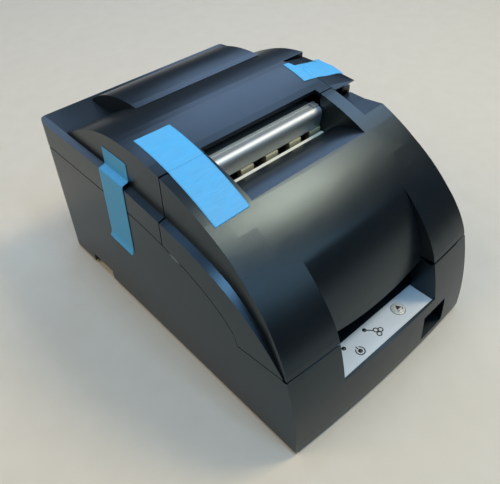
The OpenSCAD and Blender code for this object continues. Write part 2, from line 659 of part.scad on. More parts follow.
module feed_shaft() color("silver")
    x_rod(shaft_r, [feed_y, feed_z], frame_x0 - 4, frame_x1 + sheet + 6);
module feed_rollers() color("#2c2c2d") for (k = [-1, 0, 1]) difference() {
    x_rod(feed_r, [feed_y, feed_z], paper_x + 24 * k - 7, paper_x + 24 * k + 7);
    x_rod(shaft_r, [feed_y, feed_z], paper_x - 40, paper_x + 40);
}

// Spur gear in its own plane: straight-flanked teeth with backlash
function tooth(n, r, a) = [for (q = [[-1.25, -0.95], [-0.42, 0.8], [0.42, 0.8], [1.25, -0.95]])
    let (rr = r + q[1] * gear_m, b = a + (q[0] * 0.5 * gear_m / rr) * 180 / PI) rr * [cos(b), sin(b)]];
module gear(n, h, bore, turn) {
    r = n * gear_m / 2;
    difference() {
        linear_extrude(h) polygon([for (k = [0:n - 1]) each tooth(n, r, turn + 360 * k / n)]);
        if (bore > 0) translate([0, 0, -1]) cylinder(r = bore, h = h + 2);
    }
}
module x_gear(n, c, x0, x1, bore, turn) {
    translate([x0, c[0], c[1]]) rotate([90, 0, 90]) gear(n, x1 - x0, bore, turn);
}
train_angle = 216.7;        // direction from the feed roller to its motor
train_dir = [cos(train_angle), sin(train_angle)];
idler_c = [feed_y, feed_z] + train_dir * gear_m * (roller_teeth + idler_teeth) / 2;
motor_c = idler_c + train_dir * gear_m * (idler_teeth + pinion_teeth) / 2;
gear_x0 = frame_x1 + sheet + 0.8;
flange = 17;                // half length of the motor flange
module roller_gear() color("#e4e2d6")
    x_gear(roller_teeth, [feed_y, feed_z], gear_x0, gear_x0 + 4, shaft_r, train_angle);
module idler_gear() color("#e4e2d6") {
    x_gear(idler_teeth, idler_c, gear_x0, gear_x0 + 4, 0, train_angle + 180 + 180 / idler_teeth);
    x_rod(2 - pin_gap, idler_c, frame_x1 - 0.4, gear_x0 + 0.1);
}
module motor_pinion() color("#c9a24a") {
    x_gear(pinion_teeth, motor_c, gear_x0, gear_x0 + 4, 0, train_angle + 180);
    x_rod(1.5 - pin_gap, motor_c, frame_x1 - 3, gear_x0 + 0.1);
}
module feed_motor() color("#6d7276") {
    difference() {
        union() {
            x_rod(15, motor_c, frame_x1 - 24, frame_x1 - 0.8);
            slab([motor_c + [-flange, -5], motor_c + [flange, -5], motor_c + [flange, 5],
                motor_c + [-flange, 5]], frame_x1 - 0.8, frame_x1);
        }
        x_rod(1.5, motor_c, frame_x1 - 6, frame_x1 + 1);
        x_rod(2 + pin_gap, idler_c, frame_x1 - 2, frame_x1 + 1);
    }
}
module pinch_rollers() color("#2c2c2d") {
    for (k = [-1, 0, 1]) x_rod(pinch_r, [pinch_y, feed_z], paper_x + 24 * k - 5, paper_x + 24 * k + 5);
    x_rod(1.5 - pin_gap, [pinch_y, feed_z], frame_x0 - sheet, frame_x1 + sheet);
}
module guide_shaft() color("silver")
    x_rod(shaft_r - 0.5, [rail_y, rail_z], frame_x0 - sheet - 1, frame_x1 + sheet + 1);
guide_end = bay_c + [-sqrt(pow(bay_r + bay_wall, 2) - 576) - run_gap, -24];
module lower_guide() color("#aab0b4") {
    slab([guide_end, [guide_end[0] - 24, feed_z - 16], [guide_end[0] - 26, feed_z - 14.8],
        guide_end + [-0.6, 1.3]], bay_x0, bay_x1);
    slab([[guide_end[0] - 23, feed_z - 16], [paper_y - 1.5, feed_z - 16], [paper_y - 1.5, feed_z - 7],
        [paper_y - 0.3, feed_z - 7], [paper_y - 0.3, feed_z - 14.8], [guide_end[0] - 23, feed_z - 14.8]],
        frame_x0, frame_x1);
}

// Carriage with the print head
module carriage() color("#2f3133") {
    difference() {
        union() {
            box([head_x - 14, rail_y - 7, rail_z - 5], [head_x + 14, rail_y + 8, rail_z + 6]);
            box([head_x - 6, rail_y - 22.6, rail_z - 7.7], [head_x + 6, rail_y - 6.9, rail_z - 4]);
            box([head_x - 4, rail_y - 22.6, rail_z - 7.7], [head_x + 4, rail_y - 20.6, belt_z + 3]);
        }
        x_rod(shaft_r - 0.5 + pin_gap, [rail_y, rail_z], head_x - 20, head_x + 20);
    }
}
module print_head() color("#8b9196") {
    box([head_x - 11, rail_y - 7, rail_z + 6], [head_x + 11, rail_y + 5, print_z + 8]);
    // cooling fins
    for (y = [rail_y - 6:2:rail_y + 4])
        box([head_x - 12, y, rail_z + 8], [head_x + 12, y + 0.8, print_z + 8.6]);
    slab([[rail_y + 4.9, print_z - 7], [paper_y - 4, print_z - 4], [paper_y - 2.4, print_z - 3],
        [paper_y - 2.4, print_z + 3], [paper_y - 4, print_z + 4], [rail_y + 4.9, print_z + 7]],
        head_x - 5, head_x + 5);
}
function belt_loop(r) = concat(arc([pulley_x, 0], r, -90, 90, 16), arc([-pulley_x, 0], r, 90, 270, 16));
module drive_belt() color("#1d1d1e") {
    r = pulley_r + run_gap;
    translate([paper_x, belt_y, belt_z - 2.5]) linear_extrude(5) difference() {
        polygon(belt_loop(r + belt_t));
        polygon(belt_loop(r));
    }
}
module drive_pulley() color("#c9a24a") {
    z_rod(pulley_r, [paper_x + pulley_x, belt_y], belt_z - 3, belt_z + 3);
    z_rod(1.5 - pin_gap, [paper_x + pulley_x, belt_y], belt_z - 14, belt_z - 2.9);
}
module idler_pulley() color("#c9a24a") difference() {
    z_rod(pulley_r, [paper_x - pulley_x, belt_y], belt_z - 3, belt_z + 3);
    z_rod(2 + pin_gap, [paper_x - pulley_x, belt_y], belt_z - 4, belt_z + 4);
}
module carriage_motor() color("#6d7276") {
    difference() {
        z_rod(10.5, [paper_x + pulley_x, belt_y], tray_z, deck_z - 2);
        z_rod(1.5, [paper_x + pulley_x, belt_y], belt_z - 16, belt_z);
    }
    z_rod(4.5, [paper_x - pulley_x, belt_y], tray_z, belt_z - 3.3);
    z_rod(2, [paper_x - pulley_x, belt_y], belt_z - 3.4, belt_z + 3.6);
}

// Ribbon cassette, standing over the carriage with two arms to the platen
cassette_z = print_z - 4;
cassette_front = front_y + 46.1;
cassette_back = rail_y - 14;
module ribbon_cassette() color("#1c1d1f") {
    difference() {
        union() {
            box([frame_x0 + 2, cassette_front, cassette_z], [frame_x1 - 2, cassette_back, print_z + 9]);
            for (x = [frame_x0 + 2, frame_x1 - 10])
                box([x, cassette_back - eps, cassette_z], [x + 8, paper_y - 1.5, print_z + 7]);
        }
        z_rod(3 + pin_gap, knob_at, cassette_z + 2, far);
    }
    for (x = [frame_x0 - sheet, frame_x1 - 2.1])
        box([x, belt_y - 8, print_z - 6], [x + 2.1 + sheet, belt_y + 8, cassette_z + 3]);
}
module ribbon_band() color("#2a2430")
    box([frame_x0 + 4, paper_y - 1.5, print_z - 4], [frame_x1 - 4, paper_y - 1.1, print_z + 6.5]);
knob_at = [paper_x - 34, (cassette_front + cassette_back) / 2];
module ribbon_knob() color("#4a6fa5") {
    z_rod(3, knob_at, cassette_z + 2.3, print_z + 9.4);
    z_rod(8, knob_at, print_z + 9.4, print_z + 12.4);
}

// Cutter: a frame over the platen, a fixed blade and a blade that slides through the paper
cheek_x = [exit_x0 - wall - 0.8 - sheet, exit_x1 + wall + 0.8];
cutter_end = 18;
module cutter_frame() color("#aab0b4") {
    box([frame_x0 - sheet, paper_y + 2.4, cut_z - 2], [frame_x1 + sheet, cutter_end, cut_z - 0.3]);
    box([frame_x0 - sheet, -20, cut_z - 2], [cheek_x[0] + sheet, paper_y + 2.5, cut_z - 0.3]);
    box([cheek_x[1], -20, cut_z - 2], [frame_x1 + sheet, paper_y + 2.5, cut_z - 0.3]);
    for (x = cheek_x) box([x, -20, cut_z - 0.4], [x + sheet, 14, cut_z + 9]);
}
module fixed_blade() color("#c8ccd0")
    box([cheek_x[0] + sheet, paper_y - 8, cut_z - 1.6], [cheek_x[1], paper_y - 1.7, cut_z - 0.3]);
cutter_teeth = 14;
cutter_c = [paper_x + 12, paper_y + 20.5];
rack_x = cutter_c[0] + gear_m * (cutter_teeth / 2 + 0.95);
module moving_blade() color("#d4d8db") {
    // its edge passes 0.8 mm under the fixed blade's at the end of the stroke
    box([paper_x - 43, paper_y - 2.5 + cut_stroke, cut_z], [paper_x + 43, paper_y + 12, cut_z + 1.1]);
    box([rack_x, paper_y + 11.9, cut_z], [rack_x + 7, cutter_c[1] + 10, cut_z + 1.1]);
    for (k = [-1:2]) translate([rack_x, cutter_c[1] + k * PI * gear_m, cut_z])
        linear_extrude(1.1) polygon(gear_m * [[0.1, -0.62], [-1.75, -0.21], [-1.75, 0.21], [0.1, 0.62]]);
}
module cutter_gear() color("#e4e2d6") {
    translate([cutter_c[0], cutter_c[1], cut_z]) gear(cutter_teeth, 1.1, 0, 180 / cutter_teeth);
    z_rod(1.5 - pin_gap, cutter_c, cut_z + 1, cut_z + 6);
}
module cutter_motor() color("#6d7276") difference() {
    z_rod(9, cutter_c, cut_z + 2.4, hood_top);
    z_rod(1.5, cutter_c, cut_z, cut_z + 8);
}
hood_r = 4;                 // rounding at the front of the cutter hood
module cutter_hood() color("#c6cfd6") {
    front = paper_y + 1.2;
    bend = [front - 1.6 + hood_r, hood_top + 2.2 - hood_r];
    slab(concat([[cutter_end, cut_z - 0.3], [cutter_end, hood_top + 1], [front + 7, hood_top + 1],
        [front + 6.9, hood_top + 3.4], [front + 6.1, hood_top + 3.4], [front + 5.9, hood_top + 2.2]],
        arc(bend, hood_r, 90, 180, 8), [[front, lip_z], [front + 1, lip_z]],
        arc(bend, hood_r - 1.1, 180, 90, 8), [[front + 5.4, hood_top + 1.1],
        [front + 6, hood_top], [cutter_end - 1, hood_top], [cutter_end - 1, cut_z - 0.3]]),
        exit_x0 + 2.5, exit_x1 - 0.6);
    // folded tab at the right end
    slab([[front + 6.5, hood_top + 3.4], [front + 2, hood_top + 2.8], [front + 2, hood_top + 1.5],
        [front + 6.5, hood_top + 1.5]], exit_x1 - 4.4, exit_x1 - 0.6);
    for (x = [exit_x0 + 2.5, exit_x1 - 1.6])
        slab([[front + 0.8, lip_z], [front - 0.8, bend[1]], [bend[0], hood_top + 1.5],
            [front + 6, hood_top + 0.5],
            [cutter_end - 0.5, hood_top + 0.5], [cutter_end - 0.5, cut_z - 0.3], [1, cut_z - 0.3],
            [1, lip_z]], x, x + 1);
}
module tear_bar() color("#dedbd0") {
    shoulder = cut_z + 0.35 * guide_h;
    top = cut_z + 0.8 * guide_h;
    box([cheek_x[0] + sheet, paper_y - 4.5, cut_z - 0.3], [cheek_x[1], paper_y - 3.3, shoulder]);
    box([exit_x0 + 0.5, paper_y - 4.5, shoulder - eps], [exit_x1 - 0.5, paper_y - 3.3, top]);
    box([exit_x0 + 0.5, paper_y - 4.5, top - 1.3], [exit_x1 - 0.5, paper_y - 0.7, top]);
}
finger_pitch = 20;
finger_w = 10;
module paper_fingers() color("#b5a888") {
    shoulder = cut_z + 0.35 * guide_h;
    top = cut_z + guide_h;
    box([cheek_x[0] + sheet, paper_y + 2.6, cut_z + 2], [cheek_x[1], paper_y + 4.6, shoulder]);
    for (k = [-2:2]) let (x = paper_x + 2.5 + finger_pitch * k - (k == 2 ? 2 : 0))
        slab([[paper_y + 4.6, shoulder - eps], [paper_y + 2.6, shoulder - eps],
            [paper_y + 2.6, top - 0.5 * guide_h], [paper_y + 0.6, top - 0.4 * guide_h],
            [paper_y + 0.6, top - 0.8], [paper_y + 1.2, top], [paper_y + 4.6, top]],
            x - finger_w / 2, x + finger_w / 2);
}

// Electronics
board_z = floor_z + 5;
card_z = floor_z + 9;
plate_y = rear_y - wall - sheet;
card_y0 = plate_y - 60.4;
sockets = [[-33, 11, 12], [-14, 14, 14], [8, 13, 12], [29, 15, 9]];    // x, width, height
module main_board() color("#1f5a3a")
    box([board_lo[0], board_lo[1], board_z], [board_hi[0], board_hi[1], board_z + board_t]);
module board_parts() color("#1a1b1d") {
    for (p = [[-26, -40, 9, 9, 2], [12, -30, 7, 7, 1.8], [-10, -8, 6, 11, 2],
        [24, board_hi[1] - 20, 6, 4, 2]])
        box([p[0] - p[2], p[1] - p[3], board_z + board_t],
            [p[0] + p[2], p[1] + p[3], board_z + board_t + p[4]]);
    for (p = [[34, -56], [34, -42], [-36, board_hi[1] - 10], [-22, board_hi[1] - 10]])
        z_rod(4, p, board_z + board_t, board_z + board_t + 8);
    for (x = [-36, -6]) box([x, -70, board_z + board_t], [x + 20, -64, board_z + board_t + 6]);
}
module interface_card() color("#1f5a3a")
    box([-36, card_y0, card_z], [38, plate_y - 0.3, card_z + board_t]);
module interface_plate() color("#aab0b4") difference() {
    box([socket_bay[0][0] - 2, plate_y, socket_bay[0][1] - 2],
        [socket_bay[1][0] + 2, plate_y + sheet, socket_bay[1][1] + 2]);
    for (k = sockets) box([k[0] - k[1] / 2 - run_gap, plate_y - 1, card_z + board_t - run_gap],
        [k[0] + k[1] / 2 + run_gap, plate_y + sheet + 1, card_z + board_t + k[2] + run_gap]);
}
module rear_sockets() color("#1a1b1d") difference() {
    for (k = sockets) box([k[0] - k[1] / 2, plate_y - 12, card_z + board_t],
        [k[0] + k[1] / 2, rear_y - 1, card_z + board_t + k[2]]);
    for (k = sockets) box([k[0] - k[1] / 2 + 1.8, plate_y - 8, card_z + board_t + 1.8],
        [k[0] + k[1] / 2 - 1.8, rear_y, card_z + board_t + k[2] - 1.8]);
}

lower_case();
rubber_feet();
case_screws();
rear_cover();
rear_hinge_pins();
release_lever();
lever_pin();
front_cover();
front_hinge_pins();
panel_label();
feed_button();
status_lamps();
panel_board();
switch_body();
power_rocker();
roll_bay();
near_end_lever();
side_frames();
frame_tray();
platen();
feed_shaft();
feed_rollers();
roller_gear();
idler_gear();
motor_pinion();
feed_motor();
pinch_rollers();
lower_guide();
guide_shaft();
carriage();
print_head();
drive_belt();
drive_pulley();
idler_pulley();
carriage_motor();
ribbon_cassette();
ribbon_band();
ribbon_knob();
cutter_frame();
fixed_blade();
moving_blade();
cutter_gear();
cutter_motor();
cutter_hood();
tear_bar();
paper_fingers();
main_board();
board_parts();
interface_card();
interface_plate();
rear_sockets();
mechanism_posts();
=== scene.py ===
import json

import bmesh
import bpy
import numpy as np
from mathutils import Matrix, Vector

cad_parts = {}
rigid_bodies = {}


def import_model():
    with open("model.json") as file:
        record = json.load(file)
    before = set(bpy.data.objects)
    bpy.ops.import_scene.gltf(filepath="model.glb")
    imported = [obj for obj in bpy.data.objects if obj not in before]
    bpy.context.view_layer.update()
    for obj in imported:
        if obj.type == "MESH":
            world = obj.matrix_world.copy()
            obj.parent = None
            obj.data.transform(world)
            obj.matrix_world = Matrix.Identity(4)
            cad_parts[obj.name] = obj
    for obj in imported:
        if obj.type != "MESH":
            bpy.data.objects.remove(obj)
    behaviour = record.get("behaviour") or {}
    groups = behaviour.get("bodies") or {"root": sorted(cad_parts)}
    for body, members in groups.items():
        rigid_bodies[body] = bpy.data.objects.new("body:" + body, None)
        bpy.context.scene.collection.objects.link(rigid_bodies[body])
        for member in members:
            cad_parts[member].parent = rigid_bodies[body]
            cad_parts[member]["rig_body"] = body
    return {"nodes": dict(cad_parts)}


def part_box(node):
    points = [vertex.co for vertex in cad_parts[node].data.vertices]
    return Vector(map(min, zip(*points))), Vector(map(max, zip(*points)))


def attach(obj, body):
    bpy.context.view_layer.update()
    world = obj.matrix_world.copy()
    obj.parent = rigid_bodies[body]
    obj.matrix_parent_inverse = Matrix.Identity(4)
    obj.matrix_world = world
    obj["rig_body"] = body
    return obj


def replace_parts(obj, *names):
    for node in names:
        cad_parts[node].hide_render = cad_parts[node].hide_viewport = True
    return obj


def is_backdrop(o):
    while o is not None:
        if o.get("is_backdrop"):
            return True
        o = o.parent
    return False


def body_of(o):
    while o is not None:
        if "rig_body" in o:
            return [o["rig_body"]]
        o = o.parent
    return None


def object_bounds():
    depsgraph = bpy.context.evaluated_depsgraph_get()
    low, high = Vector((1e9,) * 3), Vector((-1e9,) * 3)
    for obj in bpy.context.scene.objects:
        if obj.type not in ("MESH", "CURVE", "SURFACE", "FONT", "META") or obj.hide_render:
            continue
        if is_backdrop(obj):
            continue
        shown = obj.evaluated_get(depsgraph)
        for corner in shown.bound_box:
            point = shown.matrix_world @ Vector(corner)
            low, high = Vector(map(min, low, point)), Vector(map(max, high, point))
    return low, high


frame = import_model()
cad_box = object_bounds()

# ---------------------------------------------------------------- table, light and camera
# The machine stands on a pale matt table top. Nine soft lamps shine on it: cool ones from above,
# in front, the right and behind, as from windows, and warm ones from the left and high at the right.


def linear(code):
    """sRGB hex to linear RGBA: c / 12.92 below 0.04045, else ((c + 0.055) / 1.055) ** 2.4."""
    c = np.array([int(code[i:i + 2], 16) for i in (1, 3, 5)]) / 255.0
    return tuple(np.where(c <= 0.04045, c / 12.92, ((c + 0.055) / 1.055) ** 2.4)) + (1.0,)


def add(tree, kind, settings={}, **links):
    """Adds a node: settings go to its properties or named sockets, links join its inputs."""
    node = tree.nodes.new("ShaderNode" + kind)
    for name, value in settings.items():
        if name in node.inputs:
            node.inputs[name].default_value = value
        else:
            setattr(node, name, value)
    for name, source in links.items():
        socket = name.replace("_", " ")
        tree.links.new(source, node.inputs[int(socket[1:]) if socket[1:].isdigit() else socket])
    return node


def new_material(name):
    """An empty material with its output node; returns the material, its tree and the output."""
    material = bpy.data.materials.new(name)
    material.use_nodes = True
    tree = material.node_tree
    tree.nodes.clear()
    return material, tree, tree.nodes.new("ShaderNodeOutputMaterial")


def sheet_mesh(name, *grids, closed=False):
    """Grids of points, rows by columns, made one mesh of quads; closed joins last rows to first."""
    points, quads, first = [], [], 0
    for grid in grids:
        rows, cols = grid.shape[:2]
        i = np.arange(rows if closed else rows - 1)[:, None]
        j = np.arange(cols - 1)[None, :]
        nxt = (i + 1) % rows
        corners = [i * cols + j, i * cols + j + 1, nxt * cols + j + 1, nxt * cols + j]
        quads.append(first + np.stack(corners, -1).reshape(-1, 4))
        points.append(grid.reshape(-1, 3))
        first += rows * cols
    mesh = bpy.data.meshes.new(name)
    mesh.from_pydata(np.concatenate(points).tolist(), [], np.concatenate(quads).tolist())
    joined = bmesh.new()
    joined.from_mesh(mesh)
    bmesh.ops.remove_doubles(joined, verts=joined.verts, dist=1e-7)
    joined.to_mesh(mesh)
    joined.free()
    return mesh


def placed(name, mesh, material, body=None, smooth=True):
    """Links a mesh as an object at the origin, gives it its material and lets it ride a body."""
    piece = bpy.data.objects.new(name, mesh)
    bpy.context.scene.collection.objects.link(piece)
    mesh.materials.clear()
    mesh.materials.append(material)
    if smooth:
        mesh.shade_smooth()
    if body:
        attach(piece, body)
    return piece


# Matt laminate: an even warm grey with faint clouds 18 mm across, and no clear reflections.
table_top, tree, out = new_material("table top, matt laminate")
grain = add(tree, "TexNoise", {"Scale": 55.0, "Detail": 6.0},
            Vector=add(tree, "TexCoord").outputs["Object"])
tint = add(tree, "Mix", {"data_type": "RGBA"}, Factor=grain.outputs["Fac"])
tint.inputs["A"].default_value = linear("#bdb5a4")
tint.inputs["B"].default_value = linear("#c6beae")
shader = add(tree, "BsdfPrincipled", {"Roughness": 0.7}, Base_Color=tint.outputs["Result"])
tree.links.new(shader.outputs[0], out.inputs[0])
table_ends = [-3.0, 3.0]        # metres
floor_grid = np.stack([*np.meshgrid(table_ends, table_ends, indexing="ij"), np.zeros((2, 2))], -1)
floor = placed("table_top", sheet_mesh("table_top", floor_grid[:, ::-1]), table_top)
floor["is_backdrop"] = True

scene = bpy.context.scene
scene.view_settings.view_transform = "Standard"
world = bpy.data.worlds.new("room")
scene.world = world
world.use_nodes = True
world.node_tree.nodes["Background"].inputs["Color"].default_value = linear("#b9c0c8")
world.node_tree.nodes["Background"].inputs["Strength"].default_value = 0.04

lamp_aim = Vector((0, 0, 0.08))
lamp_distance = 1.4             # metres
for name, way, size, power, colour in (                 # size in metres, power in watts
        ("overhead", (-0.12, -0.20, 0.97), (0.26, 0.32), 6.0, "#a8d6ff"),
        ("overhead_front", (0.06, -0.54, 0.84), (0.22, 0.60), 5.0, "#a8d6ff"),
        ("panel", (0.49, -0.22, 0.84), (0.34, 0.46), 11.2, "#ffeaca"),
        ("right", (0.70, 0.12, 0.68), (0.5, 0.6), 3.6, "#c2e0ff"),
        ("room", (0.40, -0.70, 0.60), (0.45, 0.45), 1.3, "#d4efff"),
        ("window", (0.54, 0.60, 0.59), (0.6, 0.75), 3.9, "#bcd8ff"),
        ("skylight", (-0.06, 0.33, 0.95), (0.35, 0.35), 1.5, "#a4d0ff"),
        ("left", (-0.66, 0.24, 0.71), (0.9, 0.9), 10.0, "#fff0dc"),
        ("back", (0.00, 0.80, 0.55), (0.6, 0.6), 2.9, "#c8deff")):
    lamp = bpy.data.lights.new(name, "AREA")
    lamp.shape = "RECTANGLE"
    lamp.size, lamp.size_y = size
    lamp.energy = power
    lamp.color = linear(colour)[:3]
    holder = bpy.data.objects.new(name, lamp)
    holder.location = lamp_aim + lamp_distance * Vector(way).normalized()
    holder.rotation_euler = (-Vector(way)).to_track_quat("-Z", "Y").to_euler()
    scene.collection.objects.link(holder)

camera = bpy.data.cameras.new("camera")
camera.lens = 41.647            # millimetres, on a sensor 36 mm wide
camera.clip_start, camera.clip_end = 0.01, 20.0
viewer = bpy.data.objects.new("camera", camera)
scene.collection.objects.link(viewer)
scene.camera = viewer
viewer.matrix_world = Matrix((          # its axes and its place in metres, fitted to the photograph
    (0.7361, 0.4760, -0.4813, -0.19908),
    (-0.6767, 0.4996, -0.5408, -0.21994),
    (-0.0170, 0.7238, 0.6898, 0.31385),
    (0, 0, 0, 1)))

# ---------------------------------------------------------------- case and covers
# Injection-moulded charcoal ABS with a fine spark-eroded grain. Every outer edge is rounded
# by the tool, and the flat walls reflect the room softly.


weld = 2e-6                     # metres; corners closer than this are one
flat_turn = np.radians(0.4)     # faces that turn by less are joined
smooth_turn = np.radians(14)    # faces that turn by less are shaded as one curve


def finished(node, material, edge=0.0006, angle=38):
    """A merged copy of a CAD node with its coplanar triangles joined. Where its faces turn by more
    than the angle in degrees, the edge between them is rounded by its width in metres."""
    shell = bmesh.new()
    shell.from_mesh(frame["nodes"][node].data)
    bmesh.ops.remove_doubles(shell, verts=shell.verts, dist=weld)
    bmesh.ops.dissolve_limit(shell, angle_limit=flat_turn, verts=shell.verts, edges=shell.edges)
    mesh = bpy.data.meshes.new(node + "_finished")
    shell.to_mesh(mesh)
    shell.free()
    piece = placed(node + "_finished", mesh, material, body_of(frame["nodes"][node])[0])
    mesh.set_sharp_from_angle(angle=smooth_turn)
    if edge:
        rounding = piece.modifiers.new("rounded edges", "BEVEL")
        rounding.width = edge
        rounding.segments = 2
        rounding.limit_method = "ANGLE"
        rounding.angle_limit = np.radians(angle)
        rounding.miter_outer = "MITER_ARC"
    normals = piece.modifiers.new("weighted normals", "WEIGHTED_NORMAL")
    normals.keep_sharp = True
    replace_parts(piece, node)
    return piece


cloud_scale = 22.0              # noise clouds about 45 mm across
grain_height = 0.0002           # metres


def moulded(name, dark, light, rough, grain=0.7, dent=0.1, gloss=0.5, cast="#ffffff"):
    """A moulded plastic or rubber. Large clouds tint it between two colours and make its gloss
    uneven; its tool's grain, in millimetres, is a bump of the grain's height times dent. Gloss is
    its specular level and cast the colour of its reflections."""
    material, tree, out = new_material(name)
    place = add(tree, "TexCoord").outputs["Object"]
    fine = add(tree, "TexNoise", {"Scale": 1000.0 / grain, "Detail": 2.0}, Vector=place)
    cloud = add(tree, "TexNoise", {"Scale": cloud_scale, "Detail": 4.0, "Roughness": 0.6}, Vector=place)
    sheen = add(tree, "MapRange", {"To Min": rough[0], "To Max": rough[1]}, Value=cloud.outputs["Fac"])
    tint = add(tree, "Mix", {"data_type": "RGBA"}, Factor=cloud.outputs["Fac"])
    tint.inputs["A"].default_value = linear(dark)
    tint.inputs["B"].default_value = linear(light)
    bump = add(tree, "Bump", {"Strength": dent, "Distance": grain_height}, Height=fine.outputs["Fac"])
    shader = add(tree, "BsdfPrincipled", {"IOR": 1.5, "Specular IOR Level": gloss},
                 Base_Color=tint.outputs["Result"], Roughness=sheen.outputs["Result"],
                 Normal=bump.outputs["Normal"])
    shader.inputs["Specular Tint"].default_value = linear(cast)
    tree.links.new(shader.outputs[0], out.inputs[0])
    return material


# Charcoal ABS: nearly black, with broad soft highlights, cooled by the bluish lamps and by a painted pale
# blue tint on its reflections.
abs_case = moulded("charcoal ABS, moulded, fine grain", "#0d1114", "#12171b", (0.25, 0.35),
                   gloss=0.6, cast="#caebff")
for node in ("lower_case", "rear_cover", "front_cover"):
    finished(node, abs_case)
finished("release_lever", abs_case, edge=0.0005)
finished("mechanism_posts", abs_case, edge=0.0003)

# The wall of the case is cut away inside, where the hinged cover turns, and a rim of the same
# moulding stands in front of that room: up to the seam, and clear of the turning edge.
hinge_y, hinge_z, room_r = -109.0, 64.5, 5.8    # axis of the front cover, radius of its room, in mm
nose_reach, nose_drop = 5.5, 1.7    # from that axis forward and down to the cover's lower edge
case_front, case_lean = -124.0, 9.5     # Y of the case's face at its foot, how far its top leans back
case_foot, front_seam = 2.6, 62.4               # lower and upper end of that face
face_r = 1000.0                                 # its plan radius
rim_t, rim_top, rim_shoulder, rim_round = 1.2, 62.0, 61.55, 0.4
rim_wall = 61.0                 # the rim's upright inside wall follows the face at this height
rim_proud, edge_gap = 0.05, 0.3         # over the case's face, and clear of the turning edge


def front_rim(start, end):
    """Rim between two X, as five lines along the seam and a middle point at each end. Its outside
    follows the case's face, Y = front + lean ((z - foot) / (seam - foot))^2 + x^2 / (2 face_r), and
    its inside keeps outside the circle on which the cover's lower edge turns."""
    x = np.linspace(start, end, 40)
    bow = x ** 2 / (2 * face_r)

    def face(z):
        rise = (z - case_foot) / (front_seam - case_foot)
        return case_front - rim_proud + case_lean * rise ** 2 + bow

    front = hinge_y - face(rim_wall)
    edge_r = np.hypot(nose_reach - bow, nose_drop) + edge_gap
    foot = hinge_z - np.sqrt(room_r ** 2 - front ** 2) - 0.9            # laps over the case's face
    inner = hinge_z - np.sqrt(np.maximum(edge_r ** 2 - (front - rim_t) ** 2, 0))
    sole = hinge_z - np.sqrt(room_r ** 2 - (front - rim_t) ** 2) - 0.3  # stands in the case's wall
    back = face(rim_wall) + rim_t
    rows = [(face(foot), foot), (face(rim_shoulder), rim_shoulder + 0 * x),
            (face(rim_top) + rim_round, rim_top + 0 * x), (back, np.minimum(inner, rim_top - 0.1)),
            (back, sole)]
    ring = np.array([np.stack([x, y, z], -1) for y, z in rows])
    ends = ring[:, [0, -1]].mean(axis=0, keepdims=True) + 0 * ring[:, [0, -1]]
    return np.concatenate([ends[:, :1], ring, ends[:, 1:]], axis=1) / 1000


rims = [front_rim(-70.0, -42.0), front_rim(44.0, 70.0)]         # left and right of the panel
placed("front_seam_rim", sheet_mesh("front_seam_rim", *rims, closed=True), abs_case, "base",
       smooth=False)

# ---------------------------------------------------------------- masking tape on the covers
# Three strips of blue crepe masking tape hold the covers shut in transport: one on the left of
# the hump, one over the release lever, one down the left side. Each is torn where two mouldings
# meet, so that either piece stays on its own cover when that is opened.

tape_t = 0.00014                # thickness, in metres as all of this section
tape_lift = 0.00012             # height of the tape over the plastic
bulge_r = 1.0                   # plan radius of the front cover's hump
plane_gap = 1.5e-5              # corners this close to a plane lie in it


def outline_at(node, x, above=0.114):
    """The highest point at each Y among a node's corners in the plane at x, as two arrays.
    Corners under the height `above` belong to the ledge, and are left out."""
    data = frame["nodes"][node].data
    points = np.empty(len(data.vertices) * 3)
    data.vertices.foreach_get("co", points)
    points = points.reshape(-1, 3)
    points = points[(np.abs(points[:, 0] - x) < plane_gap) & (points[:, 2] > above)]
    y = np.unique(np.round(points[:, 1], 5))
    z = np.array([points[np.abs(points[:, 1] - k) < 2e-5, 2].max() for k in y])
    return y, z


def quad_patch(corners, rows, cols):
    """Points between four plan corners: across from the first to the second, along to the others."""
    a, b, c, d = (np.array(k) for k in corners)
    u = np.linspace(0, 1, cols)[None, :, None]
    v = np.linspace(0, 1, rows)[:, None, None]
    return (1 - v) * ((1 - u) * a + u * b) + v * ((1 - u) * d + u * c)


def tape(name, grid, body):
    """A strip of tape: its grid of points, made a sheet with the tape's thickness."""
    strip = placed(name, sheet_mesh(name, grid), crepe, body)
    wall = strip.modifiers.new("paper", "SOLIDIFY")
    wall.thickness = tape_t
    wall.offset = 1.0
    return strip


def crepe_ripple(rows, cols, size=0.00004):
    """Heights of the fine wrinkles of crepe paper, which run across a strip: a sine along it that
    wavers across it, and a longer, lower one at a slant."""
    i, j = np.meshgrid(np.arange(rows), np.arange(cols), indexing="ij")
    return size * (np.sin(i * 2.1 + 0.8 * np.sin(j * 0.9)) + 0.5 * np.sin(i * 0.77 + j * 0.4))


# Crepe paper: dull light blue, with a painted highlight on its wrinkles' crests, and no clear reflections.
crepe, tree, out = new_material("blue crepe masking tape")
place = add(tree, "TexCoord").outputs["Object"]
turn = add(tree, "Mapping", Vector=place)
turn.inputs["Rotation"].default_value = (0, 0, np.radians(-3))
turn.inputs["Scale"].default_value = (120.0, 2600.0, 2600.0)        # wrinkles 0.4 mm apart, 8 mm long
wrinkle = add(tree, "TexNoise", {"Scale": 1.0, "Detail": 3.0}, Vector=turn.outputs["Vector"])
cloud = add(tree, "TexNoise", {"Scale": 120.0, "Detail": 3.0}, Vector=place)     # 8 mm across
# the colour follows the wrinkles' height, so their crests carry a painted highlight
crest_highlighted_blue = add(tree, "Mix", {"data_type": "RGBA"}, Factor=wrinkle.outputs["Fac"])
crest_highlighted_blue.inputs["A"].default_value = linear("#3f8bb8")
crest_highlighted_blue.inputs["B"].default_value = linear("#5ca8d0")
tint = add(tree, "Mix", {"data_type": "RGBA", "blend_type": "SOFT_LIGHT"}, Factor=cloud.outputs["Fac"])
tree.links.new(crest_highlighted_blue.outputs["Result"], tint.inputs["A"])
tint.inputs["B"].default_value = linear("#93c8e0")
